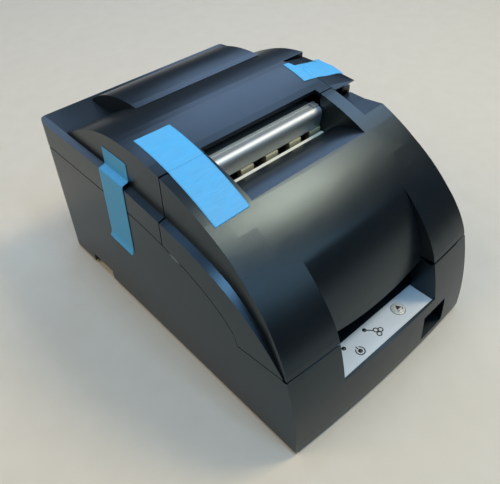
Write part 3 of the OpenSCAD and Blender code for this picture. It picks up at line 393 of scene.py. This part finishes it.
bump = add(tree, "Bump", {"Strength": 0.6, "Distance": 0.0001}, Height=wrinkle.outputs["Fac"])
shader = add(tree, "BsdfPrincipled", {"Roughness": 0.55, "IOR": 1.45},
             Base_Color=tint.outputs["Result"], Normal=bump.outputs["Normal"])
tree.links.new(shader.outputs[0], out.inputs[0])

cover_seam = -0.012             # Y of the seam between the covers
hump_side = 0.0756              # half width of the hump

# Strip on the left of the hump: its corners in plan, rear edge first
strip_ends = [(-0.0684, 0.0205), (-0.0441, 0.0201), (-0.0477, -0.0506), (-0.0711, -0.0506)]
for node, body, shortened in (("rear_cover", "rear_lid", ((3, 0), (2, 1))),
                              ("front_cover", "front_lid", ((0, 3), (1, 2)))):
    corners = [np.array(k) for k in strip_ends]
    for here, there in shortened:       # these two corners move along the strip to the seam
        share = (cover_seam - corners[here][1]) / (corners[there][1] - corners[here][1])
        corners[here] = corners[here] + share * (corners[there] - corners[here])
    plan = quad_patch(corners, 60, 24)
    bow = (hump_side ** 2 - plan[..., 0] ** 2) / (2 * bulge_r) if node == "front_cover" else 0.0
    edge_y, edge_z = outline_at(node, -hump_side)
    height = np.interp(plan[..., 1] + bow, edge_y, edge_z)
    height = height + tape_lift + crepe_ripple(*plan.shape[:2])
    if node == "rear_cover":
        seam_height = height[-1]
    else:                       # it climbs to the rear cover's strip over the last 2 mm
        height += (seam_height - height[0]) * np.exp(-((plan[..., 1] - cover_seam) / 0.002) ** 2)
    tape("tape_hump_" + body, np.dstack([plan, height])[::-1], body)

# Strip over the release lever and the cover beside it: the lever's top is ruled between its
# crease and its outer side, and the strip's free end stands out past the case.
lever_x = 0.057                 # X of the crease along the lever's top
lever_gap = 0.0002              # the tape's extra height over the lever
lever_ends = [(0.0524, 0.0264), (0.0812, 0.0209), (0.0771, -0.0040), (0.0474, 0.0026)]
crease_y, crease_z = outline_at("release_lever", lever_x)
side_y, side_z = outline_at("release_lever", hump_side)
cover_y, cover_z = outline_at("rear_cover", -hump_side)
plan = quad_patch(lever_ends, 40, 60)
on_cover = np.interp(plan[..., 1], cover_y, cover_z)
along = (plan[..., 0] - lever_x) / (hump_side - lever_x)
on_lever = (1 - along) * np.interp(plan[..., 1], crease_y, crease_z) \
    + along * np.interp(plan[..., 1], side_y, side_z) + lever_gap
height = np.where(plan[..., 0] < lever_x, on_cover, on_lever) + tape_lift + crepe_ripple(*plan.shape[:2])
strip = np.dstack([plan, height])
split = int(np.argmin(np.abs(plan[plan.shape[0] // 2, :, 0] - lever_x)))
tape("tape_lever_rear_lid", strip[::-1, :split + 1], "rear_lid")
tape("tape_lever_lever", strip[::-1, split:], "lever")

# Strip down the left side: a path in X and Z over the hump's wall, the ledge and the case. Its
# lower end is a little further back than its upper one, and its free end stands off the case.
side_path = np.array([
    (-75.6, 126.0), (-75.6, 120.0), (-75.6, 115.2), (-75.7, 114.0), (-76.1, 113.35), (-77.2, 112.98),
    (-79.1, 112.5), (-79.8, 112.1), (-80.1, 111.3), (-80.1, 104.0), (-80.1, 93.6), (-80.1, 84.0),
    (-80.1, 72.0), (-80.1, 62.0), (-80.7, 59.2), (-81.8, 57.4)]) / 1000
y_front, y_rear, drift, skew = 0.0205, 0.0452, 0.003, 0.0015
case_seam = 0.0936              # height of the seam between the rear cover and the case
rows, cols = 150, 26
reach = np.concatenate([[0], np.cumsum(np.linalg.norm(np.diff(side_path, axis=0), axis=1))])
steps = np.linspace(0, reach[-1], rows)
path_x, path_z = (np.interp(steps, reach, side_path[:, k]) for k in (0, 1))
across = np.linspace(0, 1, cols)[None, :]
share = (steps / reach[-1])[:, None]
y = y_front + drift * share + (y_rear - y_front) * across
slant = skew * (across - 0.5) * share
strip = np.stack([path_x[:, None] + 0 * y - tape_lift - crepe_ripple(rows, cols), y,
                  path_z[:, None] + slant], -1)
seam_row = int(np.argmin(np.abs(path_z - case_seam)))
tape("tape_side_rear_lid", strip[:seam_row + 1], "rear_lid")
tape("tape_side_base", strip[seam_row:], "base")

# ---------------------------------------------------------------- feet and case screws
# Four push-in feet of black rubber with a hollowed tread, and four pan-head tapping screws
# with a cross recess, which stand in wells under the case. Both are turned shapes.


def turned(profile, centre, axis=2, steps=48):
    """Surface of revolution: every (radius, height) of the profile goes round the axis through
    centre. The profile runs from the far end of the axis back, so that faces point outwards."""
    angle = np.linspace(0, 2 * np.pi, steps, endpoint=False)[:, None]
    radius, height = np.array(profile).T
    ring = np.stack([radius * np.cos(angle), radius * np.sin(angle), height + 0 * angle], -1)
    return np.roll(ring, axis + 1, axis=-1) + np.array(centre)


def metal(name, dark, light, rough, streak, dent=0.04):
    """A bare metal: its tint, gloss and fine bump follow noise drawn out to streak = (x, y, z) mm."""
    material, tree, out = new_material(name)
    drawn = add(tree, "Mapping", Vector=add(tree, "TexCoord").outputs["Object"])
    drawn.inputs["Scale"].default_value = tuple(1000.0 / k for k in streak)
    line = add(tree, "TexNoise", {"Scale": 1.0, "Detail": 4.0}, Vector=drawn.outputs["Vector"])
    tint = add(tree, "Mix", {"data_type": "RGBA"}, Factor=line.outputs["Fac"])
    tint.inputs["A"].default_value = linear(dark)
    tint.inputs["B"].default_value = linear(light)
    sheen = add(tree, "MapRange", {"To Min": rough[0], "To Max": rough[1]}, Value=line.outputs["Fac"])
    bump = add(tree, "Bump", {"Strength": dent, "Distance": 0.0001}, Height=line.outputs["Fac"])
    shader = add(tree, "BsdfPrincipled", {"Metallic": 1.0}, Base_Color=tint.outputs["Result"],
                 Roughness=sheen.outputs["Result"], Normal=bump.outputs["Normal"])
    tree.links.new(shader.outputs[0], out.inputs[0])
    return material


# Rubber is dull and slightly grey; bright zinc is a light, fairly sharp metal with faint blotches.
rubber = moulded("black rubber, moulded", "#121213", "#1b1b1c", (0.62, 0.8), grain=0.5, dent=0.2)
zinc = metal("steel, bright zinc plate", "#b3b7b8", "#c9cccb", (0.25, 0.4), (3.0, 3.0, 3.0))
# Profiles are (radius, height) in millimetres
foot_profile = [(0, 2.6), (7.0, 2.6), (7.0, 0.6), (6.8, 0.15), (6.4, 0.0), (5.2, 0.0), (4.8, 0.5),
                (4.4, 0.8), (0, 0.8)]
foot_places = [(-64, -102), (64, -94), (-64, 102), (64, 102)]
feet = [turned(foot_profile, (x, y, 0)) / 1000 for x, y in foot_places]
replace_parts(placed("rubber_feet_turned", sheet_mesh("feet", *feet, closed=True), rubber, "base"),
            "rubber_feet")
screw_profile = [(0, 15.0), (0.9, 14.6), (1.6, 12.6), (1.6, 3.8), (2.8, 3.8), (2.8, 2.9), (2.55, 2.3),
                 (2.1, 2.05), (1.6, 2.0), (1.3, 2.0), (1.0, 2.0), (0.7, 2.0), (0.4, 2.0), (0, 2.0)]
recess_r, slot_half, slot_slope, head_face = 1.45, 0.38, 0.15, 2.1
screws = []
for x, y in [(-70, -84), (70, -76), (-70, 56), (70, 56)]:
    screw = turned(screw_profile, (0, 0, 0), steps=64)
    slot = slot_half - np.minimum(abs(screw[..., 0]), abs(screw[..., 1]))       # two crossed slots
    recess = (np.hypot(screw[..., 0], screw[..., 1]) < recess_r) & (screw[..., 2] < head_face)
    screw[..., 2] += np.where(recess, np.clip(slot / slot_slope, 0, 1), 0)
    screws.append((screw + (x, y, 0)) / 1000)
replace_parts(placed("case_screws_turned", sheet_mesh("screws", *screws, closed=True), zinc, "base"),
            "case_screws")

# ---------------------------------------------------------------- hinge pins
# Plain pins of ground steel bar, pressed into the ears of the case. The grinding marks run
# round them: drawn 0.3 mm wide along the pin and 8 mm long across it, so that they show.

ground_steel = metal("steel bar, centreless ground", "#9fa4a6", "#c3c7c8", (0.18, 0.3), (0.3, 8.0, 8.0))
for node in ("front_hinge_pins", "rear_hinge_pins", "lever_pin"):
    finished(node, ground_steel, edge=0.0002)

# ---------------------------------------------------------------- control panel
# A printed polycarbonate film lies in the recess of the case. Its signs are screen-printed ink
# 0.03 mm thick; three dark lamp lenses and the domed feed button stand in its holes.


def stroke(path, width, height):
    """A printed line: two rows of points, half the width to either side of a path of (x, y), at
    right angles to its way."""
    path = np.array(path, float)
    way = np.gradient(path, axis=0)
    left = np.stack([-way[:, 1], way[:, 0]], -1) / np.linalg.norm(way, axis=1)[:, None] * width / 2
    strip = np.stack([path + left, path - left], 1)
    return np.concatenate([strip, np.full(strip.shape[:2] + (1,), height)], -1)


def arc(centre, radius, start, end, steps=30):
    """An arc in plan: points at equal steps of angle, between two angles in degrees."""
    angle = np.radians(np.linspace(start, end, steps))
    return np.array(centre) + radius * np.stack([np.cos(angle), np.sin(angle)], -1)


panel_z = 34.0                  # top of the film, in mm
film_end = -101.2               # Y
ink_t = 0.00003                 # metres
sign_w, arrow_w = 0.75, 0.6     # widths of the printed lines, in mm
lamp_places = [(-25.3, -105.0), (-6.0, -104.6), (-19.4, -112.7)]
button_x, button_y = 22.0, -108.5

# The film is an even silver grey with a soft sheen, the ink on it flat black; the lenses look
# black while the lamps are off, and the button is a warmer, glossier white than the film.
film = moulded("polycarbonate film, satin, silver grey", "#b9bfbf", "#c6ccce", (0.28, 0.38),
               grain=0.3, dent=0.05)
ink = moulded("black screen-printing ink", "#0b0c0d", "#141516", (0.35, 0.45), grain=0.3)
lens = moulded("smoked acrylic, satin", "#030404", "#070808", (0.3, 0.4), grain=2.0, dent=0.02)
button_abs = moulded("grey-white ABS, polished", "#b9b8ac", "#c6c5ba", (0.14, 0.2), grain=1.5, dent=0.04)
label = finished("panel_label", film, edge=0.0002)
trimmed = bmesh.new()           # the film ends in front of the arched edge, and the case is bare there
trimmed.from_mesh(label.data)
cut = bmesh.ops.bisect_plane(trimmed, geom=trimmed.verts[:] + trimmed.edges[:] + trimmed.faces[:],
                             plane_co=(0, film_end / 1000, 0), plane_no=(0, 1, 0), clear_outer=True)
cut_edges = [k for k in cut["geom_cut"] if isinstance(k, bmesh.types.BMEdge)]
bmesh.ops.edgeloop_fill(trimmed, edges=cut_edges)
trimmed.to_mesh(label.data)
trimmed.free()

roll_loops = [(-1.0, -109.3), (1.4, -111.0), (-1.5, -112.5)]            # three turns of paper
marks = [arc(lamp_places[2], 2.75, 118, 422), [(-19.4, -111.0), (-19.4, -109.0)],
         [(-5.1, -105.7), (-2.4, -108.4)]] + [arc(k, 1.45, 0, 360) for k in roll_loops]
grids = [stroke(k, sign_w, panel_z + 0.02) / 1000 for k in marks]
signs = placed("panel_signs", sheet_mesh("panel_signs", *grids), ink, "base", smooth=False)
signs.modifiers.new("ink", "SOLIDIFY").thickness = ink_t

lens_profile = [(0, 0.1), (0.5, 0.08), (1.0, -0.05), (1.3, -0.25), (1.4, -0.5), (1.4, -7.0), (0, -7.0)]
lenses = [turned(lens_profile, (x, y, panel_z)) / 1000 for x, y in lamp_places]
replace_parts(placed("lamp_lenses", sheet_mesh("lamp_lenses", *lenses, closed=True), lens, "base"),
            "status_lamps")

button_profile = [(0, 1.2), (1.5, 1.17), (2.8, 1.02), (3.35, 0.85), (3.6, 0.6), (3.75, 0.42), (4.1, 0.45),
                  (4.35, 0.38), (4.5, 0.1), (4.5, -4.2), (5.9, -4.2), (5.9, -4.9), (0, -4.9)]
cap = turned(button_profile, (button_x, button_y, panel_z), steps=72) / 1000
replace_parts(placed("feed_button_cap", sheet_mesh("feed_button_cap", cap, closed=True), button_abs,
                   "button"), "feed_button")
# The arrow on the button: a filled head, which is a strip from its tip to its base, and two arms
arrow = np.array([[(0.0, 2.5), (0.0, 2.5)], [(-2.1, -0.7), (2.1, -0.7)]]) + (button_x, button_y)
arrow = np.concatenate([arrow, np.full((2, 2, 1), panel_z + 1.24)], -1) / 1000
arms = [stroke(np.array(k) + (button_x, button_y), arrow_w, panel_z + 1.14) / 1000
        for k in ([(-2.4, -1.2), (-1.2, -2.3)], [(2.4, -1.2), (1.2, -2.3)])]
feed_sign = placed("feed_sign", sheet_mesh("feed_sign", arrow, *arms), ink, "button", smooth=False)
feed_sign.modifiers.new("ink", "SOLIDIFY").thickness = ink_t

# ---------------------------------------------------------------- boards
# Glass-epoxy boards under green solder mask, with copper tracks that show through it as a lighter
# green: lines 0.6 mm wide and 1.8 mm apart, along X in some cells 10 mm wide and along Y in others.

board, tree, out = new_material("glass-epoxy board, green solder mask")
place = add(tree, "TexCoord").outputs["Object"]
cell = add(tree, "TexVoronoi", {"Scale": 95.0, "distance": "MANHATTAN"}, Vector=place)
along_x = add(tree, "TexWave", {"Scale": 170.0, "bands_direction": "X"}, Vector=place)
along_y = add(tree, "TexWave", {"Scale": 170.0, "bands_direction": "Y"}, Vector=place)
pick = add(tree, "Math", {"operation": "GREATER_THAN"}, _0=cell.outputs["Color"])
pick.inputs[1].default_value = 0.5
track = add(tree, "Mix", {"data_type": "FLOAT"}, Factor=pick.outputs[0])
tree.links.new(along_x.outputs["Fac"], track.inputs["A"])
tree.links.new(along_y.outputs["Fac"], track.inputs["B"])
copper = add(tree, "MapRange", {"From Min": 0.72, "From Max": 0.82}, Value=track.outputs["Result"])
tint = add(tree, "Mix", {"data_type": "RGBA"}, Factor=copper.outputs["Result"])
tint.inputs["A"].default_value = linear("#123f28")
tint.inputs["B"].default_value = linear("#256a42")
bump = add(tree, "Bump", {"Strength": 0.3, "Distance": 0.00004}, Height=copper.outputs["Result"])
shader = add(tree, "BsdfPrincipled", {"Roughness": 0.28}, Base_Color=tint.outputs["Result"],
             Normal=bump.outputs["Normal"])
tree.links.new(shader.outputs[0], out.inputs[0])
for node in ("panel_board", "main_board", "interface_card"):
    finished(node, board, edge=0.0001)

# Moulding compound is dull and nearly black; the tinned leads are bright and slightly grey.
epoxy = moulded("black epoxy moulding compound", "#131416", "#1c1d20", (0.45, 0.6), grain=0.25, dent=0.15)
finished("board_parts", epoxy, edge=0.0002)
tin = metal("copper alloy, tin plated", "#b8babb", "#d0d1d0", (0.2, 0.35), (1.0, 1.0, 1.0))
lead = np.array([(-0.1, 0.95), (0.5, 0.95), (0.75, 0.15), (1.3, 0.12)])       # outward, upward
lead_pitch, lead_half, board_top = 1.27, 0.22, 11.6
chips = ((-26, -40, 9, 9), (12, -30, 7, 7), (-10, -8, 6, 11))       # middle, and half its sides
leads = []
for x, y, half_x, half_y in chips:
    for side in range(4):
        span, half = (half_y, half_x) if side % 2 == 0 else (half_x, half_y)
        turn = np.radians(90 * side)
        for step in np.arange(-span + 1, span - 0.9, lead_pitch):
            u = np.repeat(half + lead[:, :1], 2, 1)
            v = step + np.array([[-lead_half, lead_half]]) + 0 * u
            leads.append(np.stack([x + u * np.cos(turn) - v * np.sin(turn),
                                   y + u * np.sin(turn) + v * np.cos(turn),
                                   board_top + np.repeat(lead[:, 1:], 2, 1)], -1)[::-1] / 1000)
strip_t = 0.00012               # metres; sheet of the leads, and of the sockets' springs
pins = placed("chip_leads", sheet_mesh("chip_leads", *leads), tin, "base", smooth=False)
pins.modifiers.new("strip", "SOLIDIFY").thickness = strip_t

# ---------------------------------------------------------------- power switch
# A rocker of glossy black ABS in a frame of the same. It tips about an upright axis, and its two
# ends carry the plain signs for on and off, hot-stamped in white.

switch_black = moulded("black ABS, glossy", "#0d0e0f", "#141517", (0.12, 0.2), grain=1.0, dent=0.03)
white_foil = moulded("white stamping foil", "#d4d6d6", "#e2e3e2", (0.35, 0.45), grain=0.4)
finished("switch_body", switch_black, edge=0.0002)
finished("power_rocker", switch_black, edge=0.0003, angle=30)
axis_x, axis_y, key_z, tilt = 45.0, -107.8, 16.8, np.radians(7)
key_half = 8.4                  # half the key's length
key_middle, key_end = 1.7, 2.6          # how far its face stands before the axis, in mm
foil_proud = 0.09
mark_off = arc((0, 0), 1.5, 0, 360)
mark_on = np.array([(0, -1.5), (0, 0), (0, 1.5)])
stamped = []
for mark, place_x in ((mark_on, -5.6), (mark_off, 5.6)):
    flat = stroke(mark, 0.55, 0.0)
    u = flat[..., 0] + place_x                                  # along the key, before its tilt
    dip = np.clip(abs(u) / key_half, 0, 1) ** 1.8               # the face is hollow in the middle
    face = -key_middle - (key_end - key_middle) * dip - foil_proud
    stamped.append(np.stack([axis_x + u * np.cos(tilt) - face * np.sin(tilt),
                             axis_y + u * np.sin(tilt) + face * np.cos(tilt),
                             key_z + flat[..., 1]], -1) / 1000)
foil = placed("rocker_signs", sheet_mesh("rocker_signs", *stamped), white_foil, "rocker", smooth=False)
foil.modifiers.new("foil", "SOLIDIFY").thickness = ink_t

# ---------------------------------------------------------------- paper bay
# A trough moulded in graphite ABS, dull and a little lighter than the case, holds the roll. A
# waxy pale acetal lever at its side drops into the roll's core when the paper runs out.

bay_abs = moulded("graphite ABS, moulded", "#2a2d30", "#33373a", (0.38, 0.5))
lever_acetal = moulded("natural acetal, moulded", "#aeb0a8", "#bcbdb6", (0.3, 0.4), grain=1.5, dent=0.04)
finished("roll_bay", bay_abs, edge=0.0005)
finished("near_end_lever", lever_acetal, edge=0.0003)

# ---------------------------------------------------------------- frame of the mechanism
# Side frames, tray and paper guide are punched and folded from galvanised sheet steel. The zinc
# shows flakes some 6 mm across that differ a little in tint and gloss.

galvanised, tree, out = new_material("sheet steel, galvanised")
place = add(tree, "TexCoord").outputs["Object"]
flake = add(tree, "TexVoronoi", {"Scale": 160.0, "Randomness": 1.0}, Vector=place)       # 6 mm
mottle = add(tree, "TexNoise", {"Scale": 35.0, "Detail": 5.0}, Vector=place)
level = add(tree, "Mix", {"data_type": "FLOAT"}, Factor=mottle.outputs["Fac"], A=flake.outputs["Color"])
tint = add(tree, "Mix", {"data_type": "RGBA"}, Factor=level.outputs["Result"])
tint.inputs["A"].default_value = linear("#8f9699")
tint.inputs["B"].default_value = linear("#abb1b3")
sheen = add(tree, "MapRange", {"To Min": 0.32, "To Max": 0.5}, Value=level.outputs["Result"])
shader = add(tree, "BsdfPrincipled", {"Metallic": 1.0}, Base_Color=tint.outputs["Result"],
             Roughness=sheen.outputs["Result"])
tree.links.new(shader.outputs[0], out.inputs[0])
for node in ("side_frames", "frame_tray", "lower_guide", "cutter_frame", "interface_plate"):
    finished(node, galvanised, edge=0.0002)

# ---------------------------------------------------------------- platen, shafts and rollers
# The platen is a blackened steel bar; the shafts are ground steel. Ribbed rubber sleeves on the
# feed shaft press the paper against three small rollers.

blackened = metal("steel bar, blackened", "#26282a", "#333639", (0.35, 0.5), (12.0, 1.0, 1.0))
finished("platen", blackened, edge=0.0003)
finished("feed_shaft", ground_steel, edge=0.0003)
finished("guide_shaft", ground_steel, edge=0.0003)
finished("pinch_rollers", rubber, edge=0.0003)


rib_depth, sleeve_half, sleeve_bore, sleeve_ribs = 0.15, 7, 3.0, 12      # in mm


def ribbed(start, end, radius, bore, ribs):
    """A sleeve along X as a (radius, x) profile: its outside is a cosine wave, one for each rib, and
    its bore closes it."""
    x = np.linspace(end, start, ribs * 6)
    wave = radius - rib_depth * (0.5 + 0.5 * np.cos(2 * np.pi * (x - start) / (end - start) * ribs))
    outside = np.stack([wave, x], -1)
    return np.concatenate([[(bore, end)], outside, [(bore, start), (bore, end)]])


low, high = (np.array(k) * 1000 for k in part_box("feed_rollers"))
feed_r, feed_axis = (high[2] - low[2]) / 2, ((low[1] + high[1]) / 2, (low[2] + high[2]) / 2)
sleeves = [turned(ribbed(x - sleeve_half, x + sleeve_half, feed_r, sleeve_bore, sleeve_ribs),
                  (0, *feed_axis), axis=0, steps=56) / 1000 for x in (-23.0, 1.0, 25.0)]
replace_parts(placed("feed_sleeves", sheet_mesh("feed_sleeves", *sleeves, closed=True), rubber,
                   body_of(frame["nodes"]["feed_rollers"])[0]), "feed_rollers")

# ---------------------------------------------------------------- feed motor and gears
# A small stepping motor with a plated can turns the feed shaft through a brass pinion and two
# gears hobbed in white acetal, outside the right side frame.

can_steel = metal("motor can, satin nickel plate", "#7d8285", "#979b9d", (0.3, 0.42), (0.5, 5.0, 5.0))
brass = metal("brass, turned", "#a8813a", "#c7a052", (0.22, 0.34), (0.25, 4.0, 4.0))
acetal = moulded("white acetal, hobbed", "#cfcdc2", "#dad8ce", (0.3, 0.42), grain=2.0, dent=0.03)
finished("feed_motor", can_steel, edge=0.0004)
finished("motor_pinion", brass, edge=0.0)
for node in ("roller_gear", "idler_gear", "cutter_gear"):
    finished(node, acetal, edge=0.0001, angle=60)

# ---------------------------------------------------------------- carriage and print head
# The nine-pin head is cast aluminium with cooling fins, a dull grey with pits about 1 mm apart; it
# stands on a carriage of rough black glass-filled polyamide that slides on the guide shaft.

cast_aluminium, tree, out = new_material("aluminium, die cast")
place = add(tree, "TexCoord").outputs["Object"]
pit = add(tree, "TexNoise", {"Scale": 900.0, "Detail": 3.0}, Vector=place)
patch = add(tree, "TexNoise", {"Scale": 60.0, "Detail": 4.0}, Vector=place)
tint = add(tree, "Mix", {"data_type": "RGBA"}, Factor=patch.outputs["Fac"])
tint.inputs["A"].default_value = linear("#7f8385")
tint.inputs["B"].default_value = linear("#9da1a2")
bump = add(tree, "Bump", {"Strength": 0.25, "Distance": 0.0001}, Height=pit.outputs["Fac"])
shader = add(tree, "BsdfPrincipled", {"Metallic": 1.0, "Roughness": 0.5},
             Base_Color=tint.outputs["Result"], Normal=bump.outputs["Normal"])
tree.links.new(shader.outputs[0], out.inputs[0])
polyamide = moulded("glass-filled polyamide, black", "#1b1c1d", "#28292b", (0.5, 0.68), grain=0.4, dent=0.2)
finished("print_head", cast_aluminium, edge=0.0002)
finished("carriage", polyamide, edge=0.0004)

# ---------------------------------------------------------------- carriage drive
# A toothed belt of dull black neoprene runs between a brass pulley on the carriage motor and an
# idler. Its teeth are 2 mm apart on the inside.

finished("drive_pulley", brass, edge=0.0003)
finished("idler_pulley", brass, edge=0.0003)
finished("carriage_motor", can_steel, edge=0.0004)
low, high = (np.array(k) * 1000 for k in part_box("drive_belt"))
outer_r = (high[1] - low[1]) / 2
half_run = (high[0] - low[0]) / 2 - outer_r
middle = (low + high) / 2


def belt_line(s, radius):
    """The loop of the belt in plan at the path length s: a half turn of the radius, a straight run
    back, the other half turn and the run to the start."""
    half = 2 * half_run
    turn = np.pi * outer_r
    angle = np.where(s < turn, s / outer_r - np.pi / 2,
                     np.where(s < turn + half, np.pi / 2,
                              np.where(s < 2 * turn + half, (s - half) / outer_r - np.pi / 2, 1.5 * np.pi)))
    shift = np.where(s < turn, half_run,
                     np.where(s < turn + half, half_run - (s - turn),
                              np.where(s < 2 * turn + half, -half_run,
                                       -half_run + (s - 2 * turn - half))))
    return middle[0] + shift + radius * np.cos(angle), middle[1] + radius * np.sin(angle)


whole = 2 * np.pi * outer_r + 4 * half_run
tooth_pitch, tooth_h, belt_web = 2, 0.4, 0.6
s = np.linspace(0, whole, 900, endpoint=False)
teeth = round(whole / tooth_pitch)
inside = outer_r - belt_web - tooth_h * (np.sin(2 * np.pi * s * teeth / whole) > 0)
loops = []
outside = outer_r + 0 * s
for radius, z in ((outside, high[2]), (outside, low[2]), (inside, low[2]), (inside, high[2]),
                  (outside, high[2])):
    x, y = belt_line(s, radius)
    loops.append(np.stack([x, y, z + 0 * s], -1))
neoprene = moulded("neoprene belt, black", "#121213", "#1a1a1b", (0.6, 0.75), grain=0.4, dent=0.2)
belt_mesh = sheet_mesh("drive_belt_toothed", np.stack(loops, 1) / 1000, closed=True)
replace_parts(placed("drive_belt_toothed", belt_mesh, neoprene,
                   body_of(frame["nodes"]["drive_belt"])[0], smooth=False), "drive_belt")

# ---------------------------------------------------------------- ribbon cassette
# The cassette is glossy black polystyrene with a blue winding knob, fluted for the fingers. Its
# ribbon is nylon soaked with purple-black ink, woven 0.2 mm and drawn 1 mm so that it shows.

cassette_black = moulded("black polystyrene, moulded", "#141516", "#1d1e20", (0.2, 0.32),
                         grain=1.2, dent=0.05)
finished("ribbon_cassette", cassette_black, edge=0.0006)
inked, tree, out = new_material("nylon ribbon, woven and inked")
place = add(tree, "TexCoord").outputs["Object"]
warp = add(tree, "TexWave", {"Scale": 320.0, "bands_direction": "Z"}, Vector=place)
weft = add(tree, "TexWave", {"Scale": 320.0, "bands_direction": "X"}, Vector=place)
weave = add(tree, "Math", {"operation": "MULTIPLY"}, _0=warp.outputs["Fac"], _1=weft.outputs["Fac"])
tint = add(tree, "Mix", {"data_type": "RGBA"}, Factor=weave.outputs[0])
tint.inputs["A"].default_value = linear("#15101c")
tint.inputs["B"].default_value = linear("#31283f")
bump = add(tree, "Bump", {"Strength": 0.6, "Distance": 0.0001}, Height=weave.outputs[0])
shader = add(tree, "BsdfPrincipled", {"Roughness": 0.6}, Base_Color=tint.outputs["Result"],
             Normal=bump.outputs["Normal"])
tree.links.new(shader.outputs[0], out.inputs[0])
finished("ribbon_band", inked, edge=0.0)

blue_acetal = moulded("blue acetal, moulded", "#35588c", "#43689f", (0.3, 0.42), grain=1.5, dent=0.04)
low, high = (np.array(k) * 1000 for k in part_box("ribbon_knob"))
knob_r, top, seat = (high[0] - low[0]) / 2, high[2], high[2] - 3.0
knob_profile = [(0, top - 0.5), (2.6, top - 0.5), (3.0, top - 0.1), (4.0, top), (knob_r - 0.6, top),
                (knob_r - 0.1, top - 0.3), (knob_r, top - 0.8), (knob_r, seat + 0.5), (knob_r - 0.3, seat),
                (3.0, seat), (3.0, low[2]), (0, low[2])]
flutes, flute_depth, flute_start, flute_run = 18, 0.07, 5.0, 3.0     # depth is a share of the radius
knob = turned(knob_profile, (0, 0, 0), steps=144)
radius = np.hypot(knob[..., 0], knob[..., 1])
angle = np.arctan2(knob[..., 1], knob[..., 0])
wave = np.clip((radius - flute_start) / flute_run, 0, 1) * (0.5 - 0.5 * np.cos(flutes * angle))
knob[..., :2] *= (1 - flute_depth * wave)[..., None]
knob = (knob + ((low[0] + high[0]) / 2, (low[1] + high[1]) / 2, 0)) / 1000
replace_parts(placed("ribbon_knob_fluted", sheet_mesh("ribbon_knob_fluted", knob, closed=True), blue_acetal,
                   body_of(frame["nodes"]["ribbon_knob"])[0]), "ribbon_knob")

# ---------------------------------------------------------------- cutter and paper exit
# Two hardened blades cut the paper under a folded stainless hood, brushed along its length. The
# paper leaves between an off-white tear bar and five beige fingers.

# The hood's brushed lines run along it, drawn 0.5 mm wide; the blades' ground ones run across them.
blade_steel = metal("blade steel, ground", "#a4a8aa", "#c6c9ca", (0.2, 0.34), (0.3, 20.0, 20.0))
stainless = metal("stainless sheet, brushed", "#a9b0b2", "#c4cacb", (0.5, 0.62), (60.0, 0.5, 0.5))
bar_abs = moulded("off-white ABS, moulded", "#e0dac2", "#e9e4d0", (0.35, 0.45))
finger_acetal = moulded("beige acetal, moulded", "#a59a78", "#b5ab8a", (0.4, 0.5))
finished("fixed_blade", blade_steel, edge=0.0001)
finished("moving_blade", blade_steel, edge=0.0001)
finished("cutter_motor", can_steel, edge=0.0004)
finished("cutter_hood", stainless, edge=0.0002)
finished("tear_bar", bar_abs, edge=0.0002)
finished("paper_fingers", finger_acetal, edge=0.0003)

# ---------------------------------------------------------------- sockets
# Four black socket housings are soldered to the card behind the steel plate. A row of gold-plated
# contact springs rises from the bottom of each.

socket_black = moulded("black polyester, moulded", "#101112", "#191a1b", (0.3, 0.42))
finished("rear_sockets", socket_black, edge=0.0002)
card_top, socket_wall = 15.6, 1.8
run = np.array([(113.0, 0.0), (115.5, 0.5), (117.5, 1.3), (118.6, 0.9)])     # Y, and height over its foot
base = card_top + socket_wall + 0.05
spring_pitch, spring_half = 1.27, 0.25
springs = []
for x, width in ((-33, 11), (-14, 14), (8, 13), (29, 15)):              # the four housings
    for step in np.arange(-width / 2 + 2.6, width / 2 - 2.4, spring_pitch):
        springs.append(np.stack([x + step + np.array([[-spring_half, spring_half]]) + 0 * run[:, :1],
                                 np.repeat(run[:, :1], 2, 1), base + np.repeat(run[:, 1:], 2, 1)],
                                -1)[::-1] / 1000)
contact = metal("contact spring, gold plated", "#b8973f", "#d5b660", (0.2, 0.3), (1.0, 1.0, 1.0))
spring = placed("socket_springs", sheet_mesh("socket_springs", *springs), contact, "base", smooth=False)
spring.modifiers.new("strip", "SOLIDIFY").thickness = strip_t

size = {"cad": [list(c) for c in cad_box], "visual": [list(c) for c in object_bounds()]}
